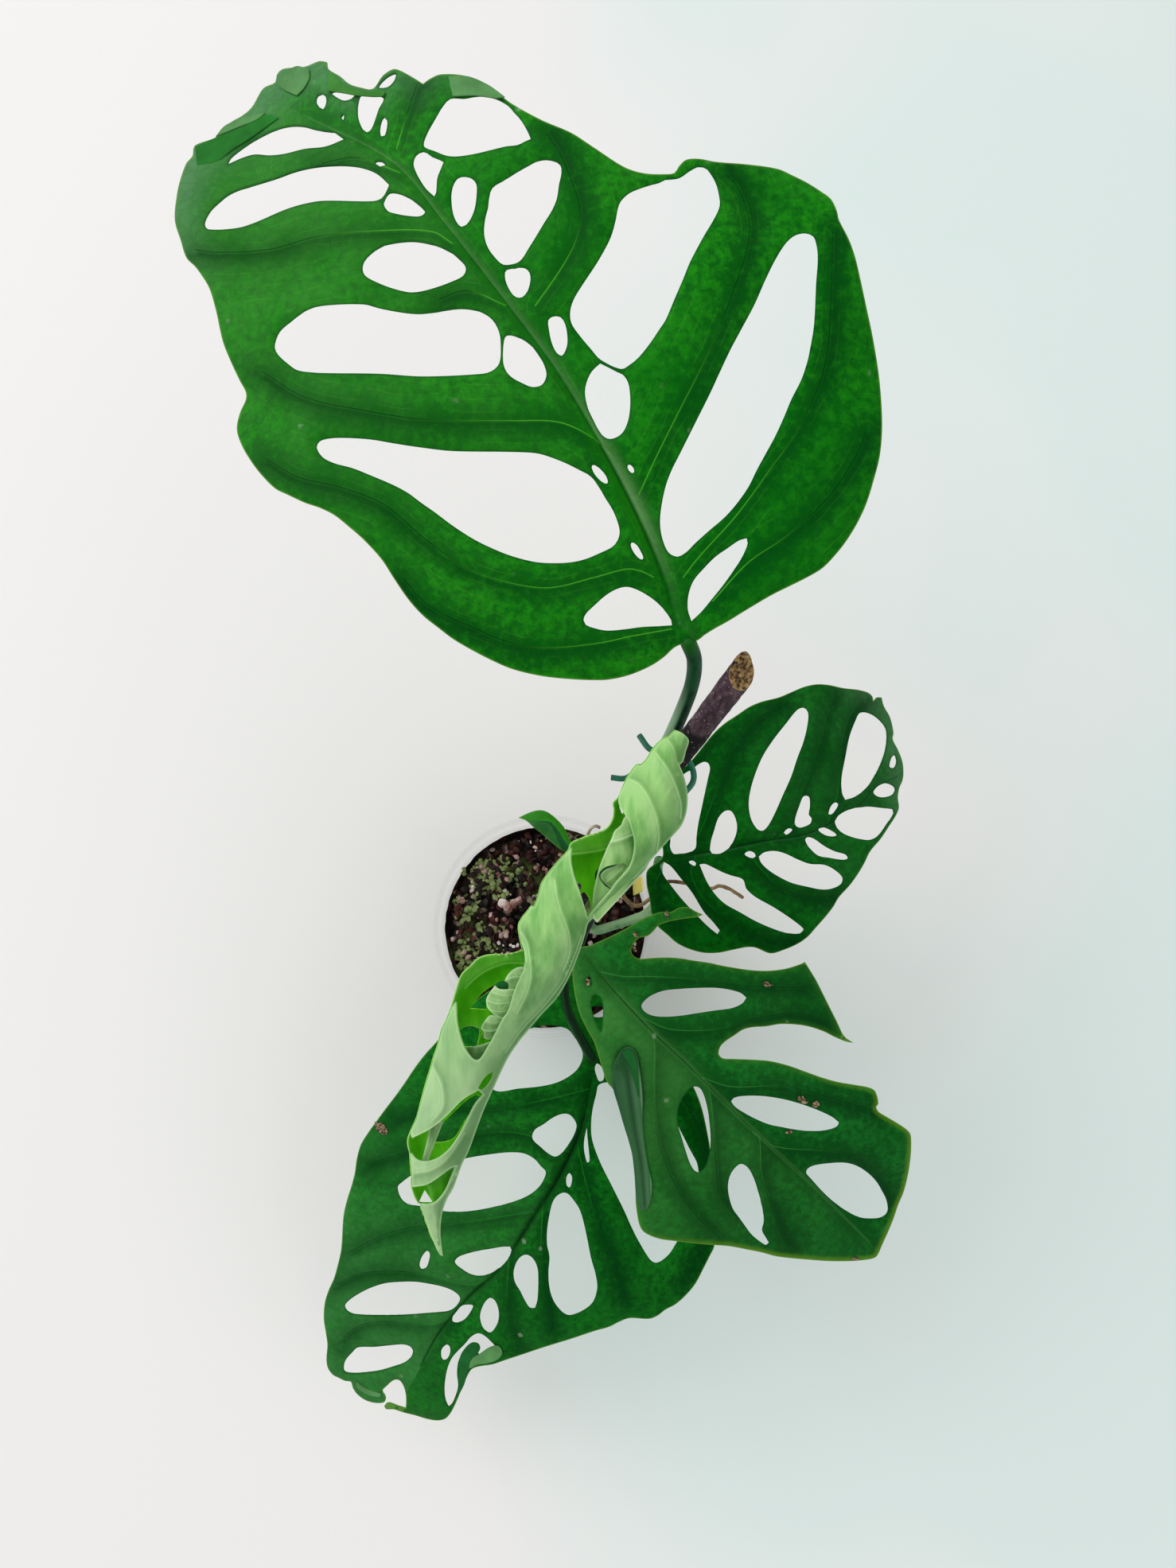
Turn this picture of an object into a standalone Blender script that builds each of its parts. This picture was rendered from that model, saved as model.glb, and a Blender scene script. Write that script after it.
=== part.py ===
"""Potted climbing monstera: a clear nursery pot of chunky mix, a bark-covered stake, a stem tied to it,
five fenestrated leaves on their petioles and one new leaf that is still rolled up.

Frame: the origin is the centre of the pot's underside, +Z up, metres.
Lengths are written in millimetres and scaled by MM.

Every leaf's outline is drawn flat, in millimetres from the top of its petiole, on a sheet square to one
line of sight that looks steeply down on the plant. The blade then leaves that sheet: each point slides
along its own line of sight by the leaf's relief, so it arches and droops and keeps its outline from there.
"""

import math

import bmesh
import bpy
from mathutils import Matrix, Vector, geometry, noise

MM = 0.001
GAP = 0.3              # clearance between pieces that touch
VIEW_POINT = Vector((23.6, -35.9, 754.5))
VIEW_TILT = math.radians(10.0)
SHEET_RIGHT = Vector((1.0, 0.0, 0.0))
SHEET_UP = Vector((0.0, math.cos(VIEW_TILT), math.sin(VIEW_TILT)))
SHEET_OUT = SHEET_RIGHT.cross(SHEET_UP)

POT_HEIGHT = 115.0
POT_BASE_RADIUS = 43.0
POT_WALL_FLARE = 0.136      # outward run of the wall for each unit of height
POT_WALL = 1.2
POT_FLOOR = 2.0
RIM_START = 103.0
RIM_RADIUS = 60.0
MIX_LEVEL = 96.0

STAKE_LOW = Vector((6.0, -1.0, 98.0))
STAKE_HIGH = Vector((71.0, 62.0, 400.0))
STAKE_RADIUS = 4.5

BLADE_THICKNESS = 0.8
BLADE_SPACING = 15.0        # distance between the blade's inner points

# The largest leaf, at the top left.
BIG_LEAF = {
    "name": "leaf_big",
    "base": (57.8, 82.6, 370.0),
    "axis": (-0.6, 0.8),
    "length": 240.0,
    "arch": (55.0, -31.0, -59.0),
    "rise": 0.16,
    "droop": 0.0016,
    "dips": [(-150, 175, 30, -10), (20, 160, 35, -9), (62, 90, 22, -6), (-150, 75, 22, -6), (-172, 145, 18, 5)],
    "midrib": [(-4, 4), (-8, 18), (-17, 40), (-30, 65), (-45, 90), (-62, 113), (-83, 140), (-100, 160),
               (-130, 176)],
    "outline": [
        (-3.5, -3), (-5.5, -4.2), (-8.5, -7), (-13, -10), (-20, -13), (-27, -14.6), (-33, -14.8), (-41, -14.4),
        (-50, -13.4), (-60, -11), (-68, -7.5), (-75, -3.8), (-80, -0.8), (-85, 3), (-90, 7), (-95, 12.5),
        (-100, 19.8), (-104, 26), (-110, 32.6), (-115, 37), (-120, 41), (-125, 43.5), (-130, 45.2), (-136, 48),
        (-140, 50), (-145, 55), (-148.7, 60), (-151.5, 65), (-153, 70), (-152, 75.5), (-150, 80), (-149.9, 82.5),
        (-152, 86.5), (-155.5, 94), (-157.8, 100), (-160, 110), (-162, 117), (-163.5, 120), (-167, 125),
        (-170, 128), (-172, 134), (-174, 141), (-173.2, 150), (-172, 155), (-170, 160.3), (-168, 162.5),
        (-167.3, 166), (-160, 169), (-155, 174), (-151.5, 176), (-148, 179), (-144, 185.5), (-140, 187.5),
        (-139.5, 190), (-137.5, 192), (-130, 192.8), (-125, 194.7), (-122.5, 194.3), (-122, 192), (-118, 189.5),
        (-115, 187), (-111, 185.7), (-107, 185.3), (-103.6, 189.8), (-100, 192), (-97.8, 191.5), (-94, 189.5),
        (-90, 187), (-88, 188.5), (-84, 190.2), (-75, 189.5), (-70, 186.3), (-66, 184.7), (-60, 180.3),
        (-50, 174.8), (-40, 170.5), (-33, 166), (-24, 160), (-20, 158), (-15, 156.7), (-9, 156.4), (-5, 156.8),
        (-3.5, 159), (-1, 161.3), (3.5, 161.6), (9, 160.6), (20, 159.7), (30, 158.2), (35, 156), (40, 153.5),
        (45, 150.3), (48, 148), (50, 144), (50.7, 141), (54, 134.5), (56, 129), (57.5, 123), (60.3, 110),
        (62, 102), (64, 90), (65, 80), (65.3, 70), (64.5, 61), (62.5, 53), (60, 45), (57, 38.5), (53, 32),
        (49, 27), (45, 23), (40, 20), (33, 16.5), (28, 14), (20, 9.3), (13, 5), (9, 2.8), (5, 0.3), (3, -1.3)],
    "holes": [
        [(-156, 159.8), (-155, 162), (-150, 166), (-146, 168.5), (-141, 171), (-136, 172.5), (-131, 172.7),
         (-126, 171.5), (-120, 170.7), (-116.6, 168.3), (-123, 165.8), (-130, 165), (-137, 163.3), (-142, 162.8),
         (-147, 163.1), (-151, 162)],
        [(-162.8, 137.8), (-163.8, 139.5), (-162.5, 143), (-158, 147.8), (-154, 150.5), (-149, 152.2),
         (-140, 155), (-133, 157.5), (-126, 159), (-119, 159.5), (-112, 159), (-106, 157), (-101.5, 152.8),
         (-102.5, 150.5), (-104, 148.3), (-107, 147.3), (-124, 147.4), (-131, 146.2), (-137, 144.3),
         (-147, 140), (-153, 138.2)],
        [(-103.4, 146.6), (-102, 144), (-99, 143), (-95, 142.3), (-91, 142.2), (-89.3, 143.5), (-90.5, 145.3),
         (-94, 148), (-98, 149.8), (-101.4, 150.2), (-102.9, 148.2)],
        [(-110.4, 124), (-109.8, 127), (-107, 130), (-103, 132.3), (-98, 133.3), (-92, 133.5), (-86, 132.3),
         (-81, 130.2), (-77, 127), (-75.5, 124.3), (-76.5, 122), (-80, 120.2), (-85, 118.3), (-91, 116.7),
         (-95, 116.5), (-101, 118), (-106, 120), (-109.5, 122)],
        [(-140.2, 98), (-138.5, 103), (-134, 107), (-129, 110.5), (-123, 112), (-110, 112.3), (-105, 111),
         (-99, 109.8), (-92, 109), (-86, 109.6), (-80, 110.6), (-75, 110.7), (-70, 109.5), (-66.5, 107),
         (-64.5, 103.5), (-63.8, 100), (-64.2, 92.5), (-67, 89.7), (-71, 88.8), (-90, 88), (-105, 88.9),
         (-122, 89.1), (-127, 89.3), (-132.5, 90.1), (-136, 92.5), (-139, 95.3)],
        [(-62.6, 100.3), (-61.5, 101.8), (-59, 101.6), (-56, 100.5), (-52, 97), (-49.5, 93), (-48.3, 89.5),
         (-48.6, 87), (-50, 85), (-53, 84.4), (-56, 85.5), (-60, 87.7), (-62, 90), (-62.9, 93)],
        [(-126, 64), (-125, 66), (-121, 67), (-115, 67.1), (-107, 66.5), (-100, 65.3), (-90, 63.8), (-80, 62.7),
         (-60, 62.4), (-52, 62), (-48, 61), (-42, 58.7), (-37, 56.2), (-33, 54), (-31, 51.5), (-28.5, 47),
         (-26, 43), (-24.3, 39), (-23.5, 35.5), (-24.2, 32.5), (-26, 30.3), (-30, 28.3), (-35, 26.2),
         (-40, 25.1), (-46, 24.8), (-52, 25.2), (-60, 27.2), (-67, 30), (-73, 33), (-80, 37.5), (-86, 42),
         (-91, 45.5), (-95, 48.5), (-100, 51.2), (-107, 54.2), (-114, 57), (-120, 58.6), (-124, 60.7)],
        [(-33, 57), (-32.3, 58.3), (-31, 58), (-29, 55.5), (-27.6, 53), (-28.8, 52), (-30.2, 53.4), (-31.6, 55.3)],
        [(-19.5, 30.5), (-18.7, 31.5), (-17, 30), (-15.8, 27.5), (-16.5, 26.4), (-18.3, 28)],
        [(-35.7, 5.5), (-35, 7.5), (-32, 10.5), (-28, 14), (-24, 16.2), (-20.5, 16.7), (-16, 15), (-11.5, 12),
         (-8, 8.5), (-5.8, 5.5), (-5.6, 3.8), (-10, 3.5), (-16, 3.2), (-22, 2.4), (-28, 2), (-32, 2.8),
         (-35, 4)],
        [(0.8, 5.2), (-0.4, 9), (-0.2, 14), (1.5, 18.8), (5, 23), (9, 27), (13, 29.8), (17, 32.5), (19.5, 33.2),
         (19.8, 31.5), (18.5, 28), (16, 23.7), (12, 18), (8, 13), (4, 8.2)],
        [(-4, 27), (-7, 28.5), (-9, 33), (-9.8, 38), (-9.5, 43), (-8, 50.5), (-6, 56), (-3, 62), (3, 74),
         (7, 82), (10, 88.5), (14, 97), (18, 104.5), (22, 112), (26, 121), (29.5, 128), (33, 133.3),
         (36, 135.7), (39.5, 136.4), (42, 135.5), (43.2, 132), (43.5, 127), (43, 120), (42.3, 106), (41.3, 99),
         (40, 93), (38, 87), (34.5, 80), (32, 74), (29, 67.5), (26, 62), (23, 56.5), (20, 50.5), (16, 44.8),
         (12, 40.3), (7, 36), (2, 31.5), (-1, 28.5)],
        [(-30, 92.4), (-33, 89.5), (-34.8, 85.5), (-35.2, 82), (-34.3, 77.5), (-32, 72.5), (-30, 68.8),
         (-27.5, 66.9), (-25, 67.2), (-22.5, 69), (-20.8, 72.5), (-20, 77), (-20, 82), (-20.7, 86),
         (-22.5, 88.6), (-24.5, 89.6)],
        [(-30, 93.7), (-33, 97), (-37, 101.8), (-39.8, 106), (-40.2, 110), (-39, 114), (-36, 119), (-32, 125),
         (-29, 130), (-26.5, 135), (-25, 140), (-24, 145), (-23, 147.3), (-20, 150), (-15, 152), (-10, 153.5),
         (-7, 154.8), (-3, 155.2), (0, 157.2), (3, 158.8), (4.8, 159), (7, 157), (9, 153.5), (10.4, 147),
         (10, 144.5), (8, 140.5), (5, 135.5), (2, 130), (0, 126), (-2, 121), (-5, 114), (-8, 107), (-10, 104),
         (-13, 99.5), (-17, 94.5), (-20, 92), (-23, 90.5)],
        [(-47.5, 104.5), (-47.6, 107), (-46, 108.2), (-43.5, 108), (-41.9, 105.5), (-41.2, 101.5), (-41.4, 98),
         (-43, 95), (-44.8, 96), (-46.5, 99.5)],
        [(-62.3, 122), (-61.8, 124.2), (-59, 124.6), (-55.5, 124.5), (-54, 123), (-53.7, 120.5), (-54.7, 116.8),
         (-56.5, 114.8), (-58.5, 114.8), (-60.3, 116.5), (-61.8, 119.5)],
        [(-62.8, 125.8), (-65, 127.5), (-68, 131.5), (-69.3, 136), (-69, 141), (-68, 145), (-67.5, 149),
         (-66.5, 151.8), (-63, 154), (-58, 157.2), (-53, 160), (-49.5, 161.2), (-46, 161), (-43.7, 159.8),
         (-43.2, 157), (-44, 153), (-44.8, 148), (-46.5, 144), (-49, 140), (-52, 135), (-54.5, 131),
         (-56.5, 127.8), (-58.5, 126.3)],
        [(-80.4, 148), (-80, 152), (-78.3, 155), (-76, 155.5), (-73.5, 154.8), (-72, 153), (-71.9, 149.5),
         (-72.5, 145), (-73.8, 141.5), (-75.5, 139.2), (-77, 138.6), (-78.5, 140), (-79.8, 143)],
        [(-90, 164.2), (-92.5, 162.8), (-93.3, 160.5), (-92.8, 158), (-91, 154.5), (-89, 151.5), (-86.2, 148.9),
         (-85.6, 150.2), (-85.2, 155), (-84, 158.2), (-83, 160.6), (-84.5, 161.5), (-87.2, 162.6)],
        [(-89.5, 165.6), (-89.7, 167.5), (-88, 171.5), (-86, 175), (-83, 180), (-81, 182), (-76, 182),
         (-71, 182.8), (-66, 182.3), (-61.5, 180), (-59.5, 177.8), (-56.5, 174), (-54.5, 170.5), (-53.6, 168.3),
         (-55.5, 167.5), (-58, 166.3), (-62, 165.8), (-67, 164.6), (-73, 163.2), (-79, 162.4), (-82.5, 162.8),
         (-86, 164.2)],
        [(-111.5, 182.8), (-112.2, 178), (-111.8, 175), (-110.3, 171.5), (-109, 170.6), (-107.5, 171.7),
         (-106, 175.5), (-105, 178.5), (-103.3, 182), (-106, 183.1), (-109.5, 183.6)],
        [(-121, 184), (-118.5, 182), (-116.5, 181.3), (-114.2, 182), (-113, 183.2), (-116, 184.2)],
        [(-126.2, 181), (-125.7, 183), (-124.3, 183.5), (-123, 182.7), (-122.8, 180.5), (-123.8, 178.4),
         (-125, 179)],
        [(-105.2, 185.9), (-102.5, 189.2), (-99.3, 190.6), (-99.6, 188.4), (-102, 185.9)],
        [(-104.6, 171.5), (-104.3, 174.2), (-103.3, 175.8), (-102.2, 174.6), (-102.2, 172.5), (-103, 169.5),
         (-104.2, 169.2)]],
}

# The dark leaf at the right, half hidden by the new leaf.
RIGHT_LEAF = {
    "name": "leaf_right",
    "base": (59.2, 27.7, 190.0),
    "axis": (0.95, 0.32),
    "length": 122.0,
    "arch": (34.0, -12.0, -34.0),
    "rise": 0.1,
    "droop": 0.0028,
    "dips": [(112, 45, 22, -8), (60, -44, 22, -4)],
    "midrib": [(6, 0), (30, 4), (50, 8), (72, 12), (96, 26)],
    "outline": [
        (0, 0), (0, 8), (1, 18), (4, 30), (8, 42), (12, 44.5), (16, 49), (20, 54), (25, 60), (30, 64.5),
        (36, 68.5), (42, 72.5), (48, 75), (56, 77), (62, 79.5), (68, 82), (74, 83.3), (80, 83), (87, 81.5),
        (94, 80.7), (99, 79.3), (101, 77.5), (101.5, 75.2), (103, 77), (105.5, 77), (106.5, 73), (109.5, 67.5),
        (111.2, 60), (110.8, 57), (113.5, 51.5), (115.5, 46), (116, 41), (115.5, 37), (114, 33.5), (113.3, 29),
        (113.8, 24), (112.5, 20.5), (109, 15), (105, 9), (100, 3), (97, -3), (94, -8), (90, -13.5), (85, -19),
        (82, -24), (78, -29), (74, -33.5), (70, -38), (65, -41.5), (58, -44.5), (52, -46), (45, -43.3),
        (41, -43), (34, -44.3), (27, -45.7), (20, -45.7), (13, -43.9), (7, -41), (3, -37.5), (-3, -32),
        (-5, -27), (-6, -20), (-7.5, -12), (-7, -6)],
    "holes": [
        [(4, 8), (3.8, 5), (5.5, 1.8), (9, 1.8), (13, 2.5), (16, 4.5), (16.5, 10), (17.5, 17), (19, 24),
         (20.5, 31), (22, 38), (23, 43), (22, 45.5), (20, 46), (17, 44.5), (14.5, 42.5), (10, 39.5), (7, 30),
         (4, 18)],
        [(23, 3.5), (24, 2), (28, 2), (32, 4.5), (34.5, 8.5), (36, 14), (35.2, 19), (33, 22.5), (30, 22.3),
         (27, 19), (25, 13), (23.5, 8)],
        [(46, 13.5), (43, 18), (41.7, 24), (42, 30), (44, 38), (48, 48), (53, 56), (60, 65), (65, 71), (68, 72),
         (70, 70), (70, 65), (68, 56), (65, 48), (62, 39), (58, 30), (54, 21), (51, 15.5), (48.5, 13)],
        [(58.5, 12), (60.5, 14), (62.5, 13.6), (61.5, 12), (59.5, 11)],
        [(63.9, 15.9), (64, 19), (66, 25), (68, 29.5), (70.5, 29.3), (71, 25), (70.5, 20.5), (71.8, 19),
         (71.3, 16.5), (68, 14.8), (65.6, 14.5)],
        [(88, 27.8), (86.5, 31), (86.2, 38), (88, 48), (90, 58), (93, 66), (95, 69.5), (99, 69.5), (104, 66.5),
         (107.5, 62), (108, 57), (106.5, 49), (103, 41), (98.5, 34), (93, 29.5)],
        [(80, 20.8), (81, 24.5), (83, 26.5), (84.8, 25.8), (83.8, 23.5), (81.5, 20.8)],
        [(101.5, 31.5), (104, 34.5), (108, 35.8), (111.3, 34.3), (112, 32.5), (110, 30), (106, 29),
         (103, 29.7)],
        [(83, 17.5), (84.5, 20), (88, 22.3), (93, 24), (99, 24.5), (106, 23.8), (111, 23.3), (111.2, 21.7),
         (107.6, 15.6), (104, 10.8), (100, 8.6), (96, 8.8), (91, 10), (86.5, 12), (84, 14.5)],
        [(75, 13.5), (78, 14.5), (82, 12.5), (84, 10.9), (82, 10.2), (78, 11)],
        [(68.8, 9), (70, 10), (73, 9), (78, 5.5), (83, 3), (88, 1.5), (89.2, -0.3), (87, -1), (80, 0), (75, 1),
         (71, 4.5), (69.3, 7)],
        [(46.5, 0.5), (49, 2.5), (54, 3.2), (59, 2), (65, -0.8), (71, -3), (78, -3.5), (83, -6), (86.5, -9.5),
         (86, -12.5), (82, -14.7), (77, -15.3), (70, -14), (62, -12), (55, -8.5), (50, -5), (47.3, -2)],
        [(39.6, 1.8), (41.8, 3.2), (44.4, 2.2), (45, 0.8), (43.5, -0.2), (41, 0.5)],
        [(12.8, -2), (14.5, -1.4), (16.3, -2.6), (16, -3.9), (14.2, -3.4)],
        [(18, -3.3), (19.5, -7), (21.5, -11.5), (25, -17), (30, -22), (37, -26), (45, -30.5), (53, -34),
         (60, -36.2), (66, -36.5), (68, -34.5), (66.5, -32.8), (60, -28), (53, -23.5), (45, -19), (40.5, -15),
         (38.8, -10.5), (33, -8.5), (29, -7), (24, -4.5), (20.5, -3)],
        [(-1, -3.5), (0.5, -1.9), (4, -4), (9, -10), (14.5, -17), (20, -26), (24.5, -31), (27.7, -35),
         (26.5, -36.7), (22, -33), (17.5, -28.5), (10, -20.5), (4, -13), (0.5, -8)]],
}

# The leaf at the lower right.
LOWER_RIGHT_LEAF = {
    "name": "leaf_lower_right",
    "base": (19.4, -15.4, 235.0),
    "axis": (0.7, -0.714),
    "length": 185.0,
    "arch": (40.0, -20.0, -50.0),
    "rise": 0.12,
    "droop": 0.0017,
    "dips": [(110, -30, 25, -6), (18, -95, 22, -7), (140, -110, 25, -7), (52, 14, 16, -4)],
    "midrib": [(4, -6), (10, -14), (22, -27.5), (34, -40), (46, -51), (58, -63), (72, -77), (88, -92),
               (103, -106), (118, -121)],
    "outline": [
        (0.5, -1.5), (5, -0.5), (9, 1.2), (14, 3.5), (20, 6.5), (25, 9.5), (30, 12), (36, 14.2), (40, 14),
        (44, 16), (48, 16.2), (51, 14.5), (54.3, 13), (52, 12), (48, 11.5), (42, 10.5), (38, 9.5), (35, 8.3),
        (33, 6), (30, 3.5), (27, 3), (25, 1.5), (23, -2.5), (24, -5), (27, -6.3), (31, -6), (38, -5.7),
        (44, -6), (50, -7), (57, -8), (63, -9.3), (70, -10.5), (76, -11.3), (83, -11.5), (90, -10.7),
        (95, -9.3), (99, -7.8), (101, -11), (104, -16), (107, -22), (110, -28), (113, -34), (116, -40),
        (120, -43), (117, -42.5), (112, -40.5), (107, -38), (101, -36), (95, -35), (88, -34.8), (82, -35.8),
        (76, -36.2), (72, -37.2), (68, -39.8), (64, -42.5), (61.8, -45), (61.3, -48), (63, -49.7), (68, -50),
        (76, -50.3), (84, -51), (92, -53), (99, -55.5), (106, -58), (113, -60), (120, -61.2), (127, -62.5),
        (129.5, -64), (131, -69.5), (130, -71), (131, -73), (135, -75.5), (140, -78.5), (143.5, -81),
        (145, -83), (145.3, -88), (145, -93), (144, -100), (142, -108), (139.5, -114), (137.5, -120),
        (135, -126), (132.5, -131.5), (131, -135), (129.5, -136.8), (125, -137.8), (118, -138.3),
        (110, -138.3), (102, -137.8), (94, -137), (87, -136.3), (80, -134.5), (74, -133.3), (66, -131.8),
        (58, -131.2), (50, -130.5), (42, -129.5), (36, -128.7), (31, -127), (28, -125), (26.5, -122),
        (25.5, -117), (25, -112), (24.7, -98), (23.8, -93), (22.5, -88), (20, -79), (17.5, -70),
        (15.3, -63.5), (13, -60.8), (11.3, -57), (9.5, -51), (7, -43), (3.5, -36.5), (0.5, -30), (-1.5, -22),
        (-2.5, -14), (-2, -5)],
    "holes": [
        [(27.5, -27), (28.5, -25), (31.5, -22.5), (37, -20.3), (45, -19.4), (53, -19), (60, -19), (66, -19.8),
         (71, -21.3), (73.3, -23.3), (71.5, -25.8), (67, -27.8), (60, -28.8), (52, -30), (44, -31.2),
         (37, -31.6), (32, -31), (28.8, -29.3)],
        [(66.7, -68.5), (68, -67), (72, -66.2), (80, -66.2), (88, -67.3), (95, -69), (101, -71), (106, -73),
         (111, -75.5), (113.8, -77.8), (113, -79.5), (109, -81), (104, -81.5), (97, -81.2), (90, -80),
         (83, -78.5), (77, -76), (71, -72.8), (68, -70.5)],
        [(99.5, -100), (100, -98), (103, -96.5), (109, -95.6), (116, -95.3), (121, -96.5), (126, -99.5),
         (130, -103.5), (133, -108.5), (135, -113), (135, -117), (133, -119), (128, -119.8), (123, -119.2),
         (118, -117), (112, -113), (106.5, -108), (102, -103)],
        [(71, -95.8), (68, -98), (66, -101.5), (65.3, -106), (66, -111), (67.5, -115.5), (70, -119),
         (72.5, -122.5), (75.5, -126.5), (79, -129.5), (82, -131.5), (83.3, -130.5), (81.5, -127.5),
         (80.2, -125), (81, -121), (80.3, -115), (78.5, -108), (76.5, -102), (74, -97.5)],
        [(51, -62), (48.5, -63.2), (45.5, -67), (43.5, -72), (43.3, -78), (45, -84), (46.5, -89), (48.5, -95),
         (50.5, -98.5), (52.5, -99.5), (55, -97.5), (56.8, -93), (57.8, -87), (57.5, -80), (56.5, -72.5),
         (55, -66.5), (53.3, -63)],
        [(5.5, -26), (5.8, -23.5), (7, -22), (9, -22.5), (10.3, -25), (10.8, -28.5), (10.5, -33), (9.8, -38),
         (8, -35), (6.5, -31)],
        [(22, -44.8), (19, -46.5), (17, -49.5), (17.5, -53), (20, -58), (23, -64), (26, -71.5), (27.2, -68),
         (27.3, -60), (26.5, -52), (25, -47)]],
}

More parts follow.
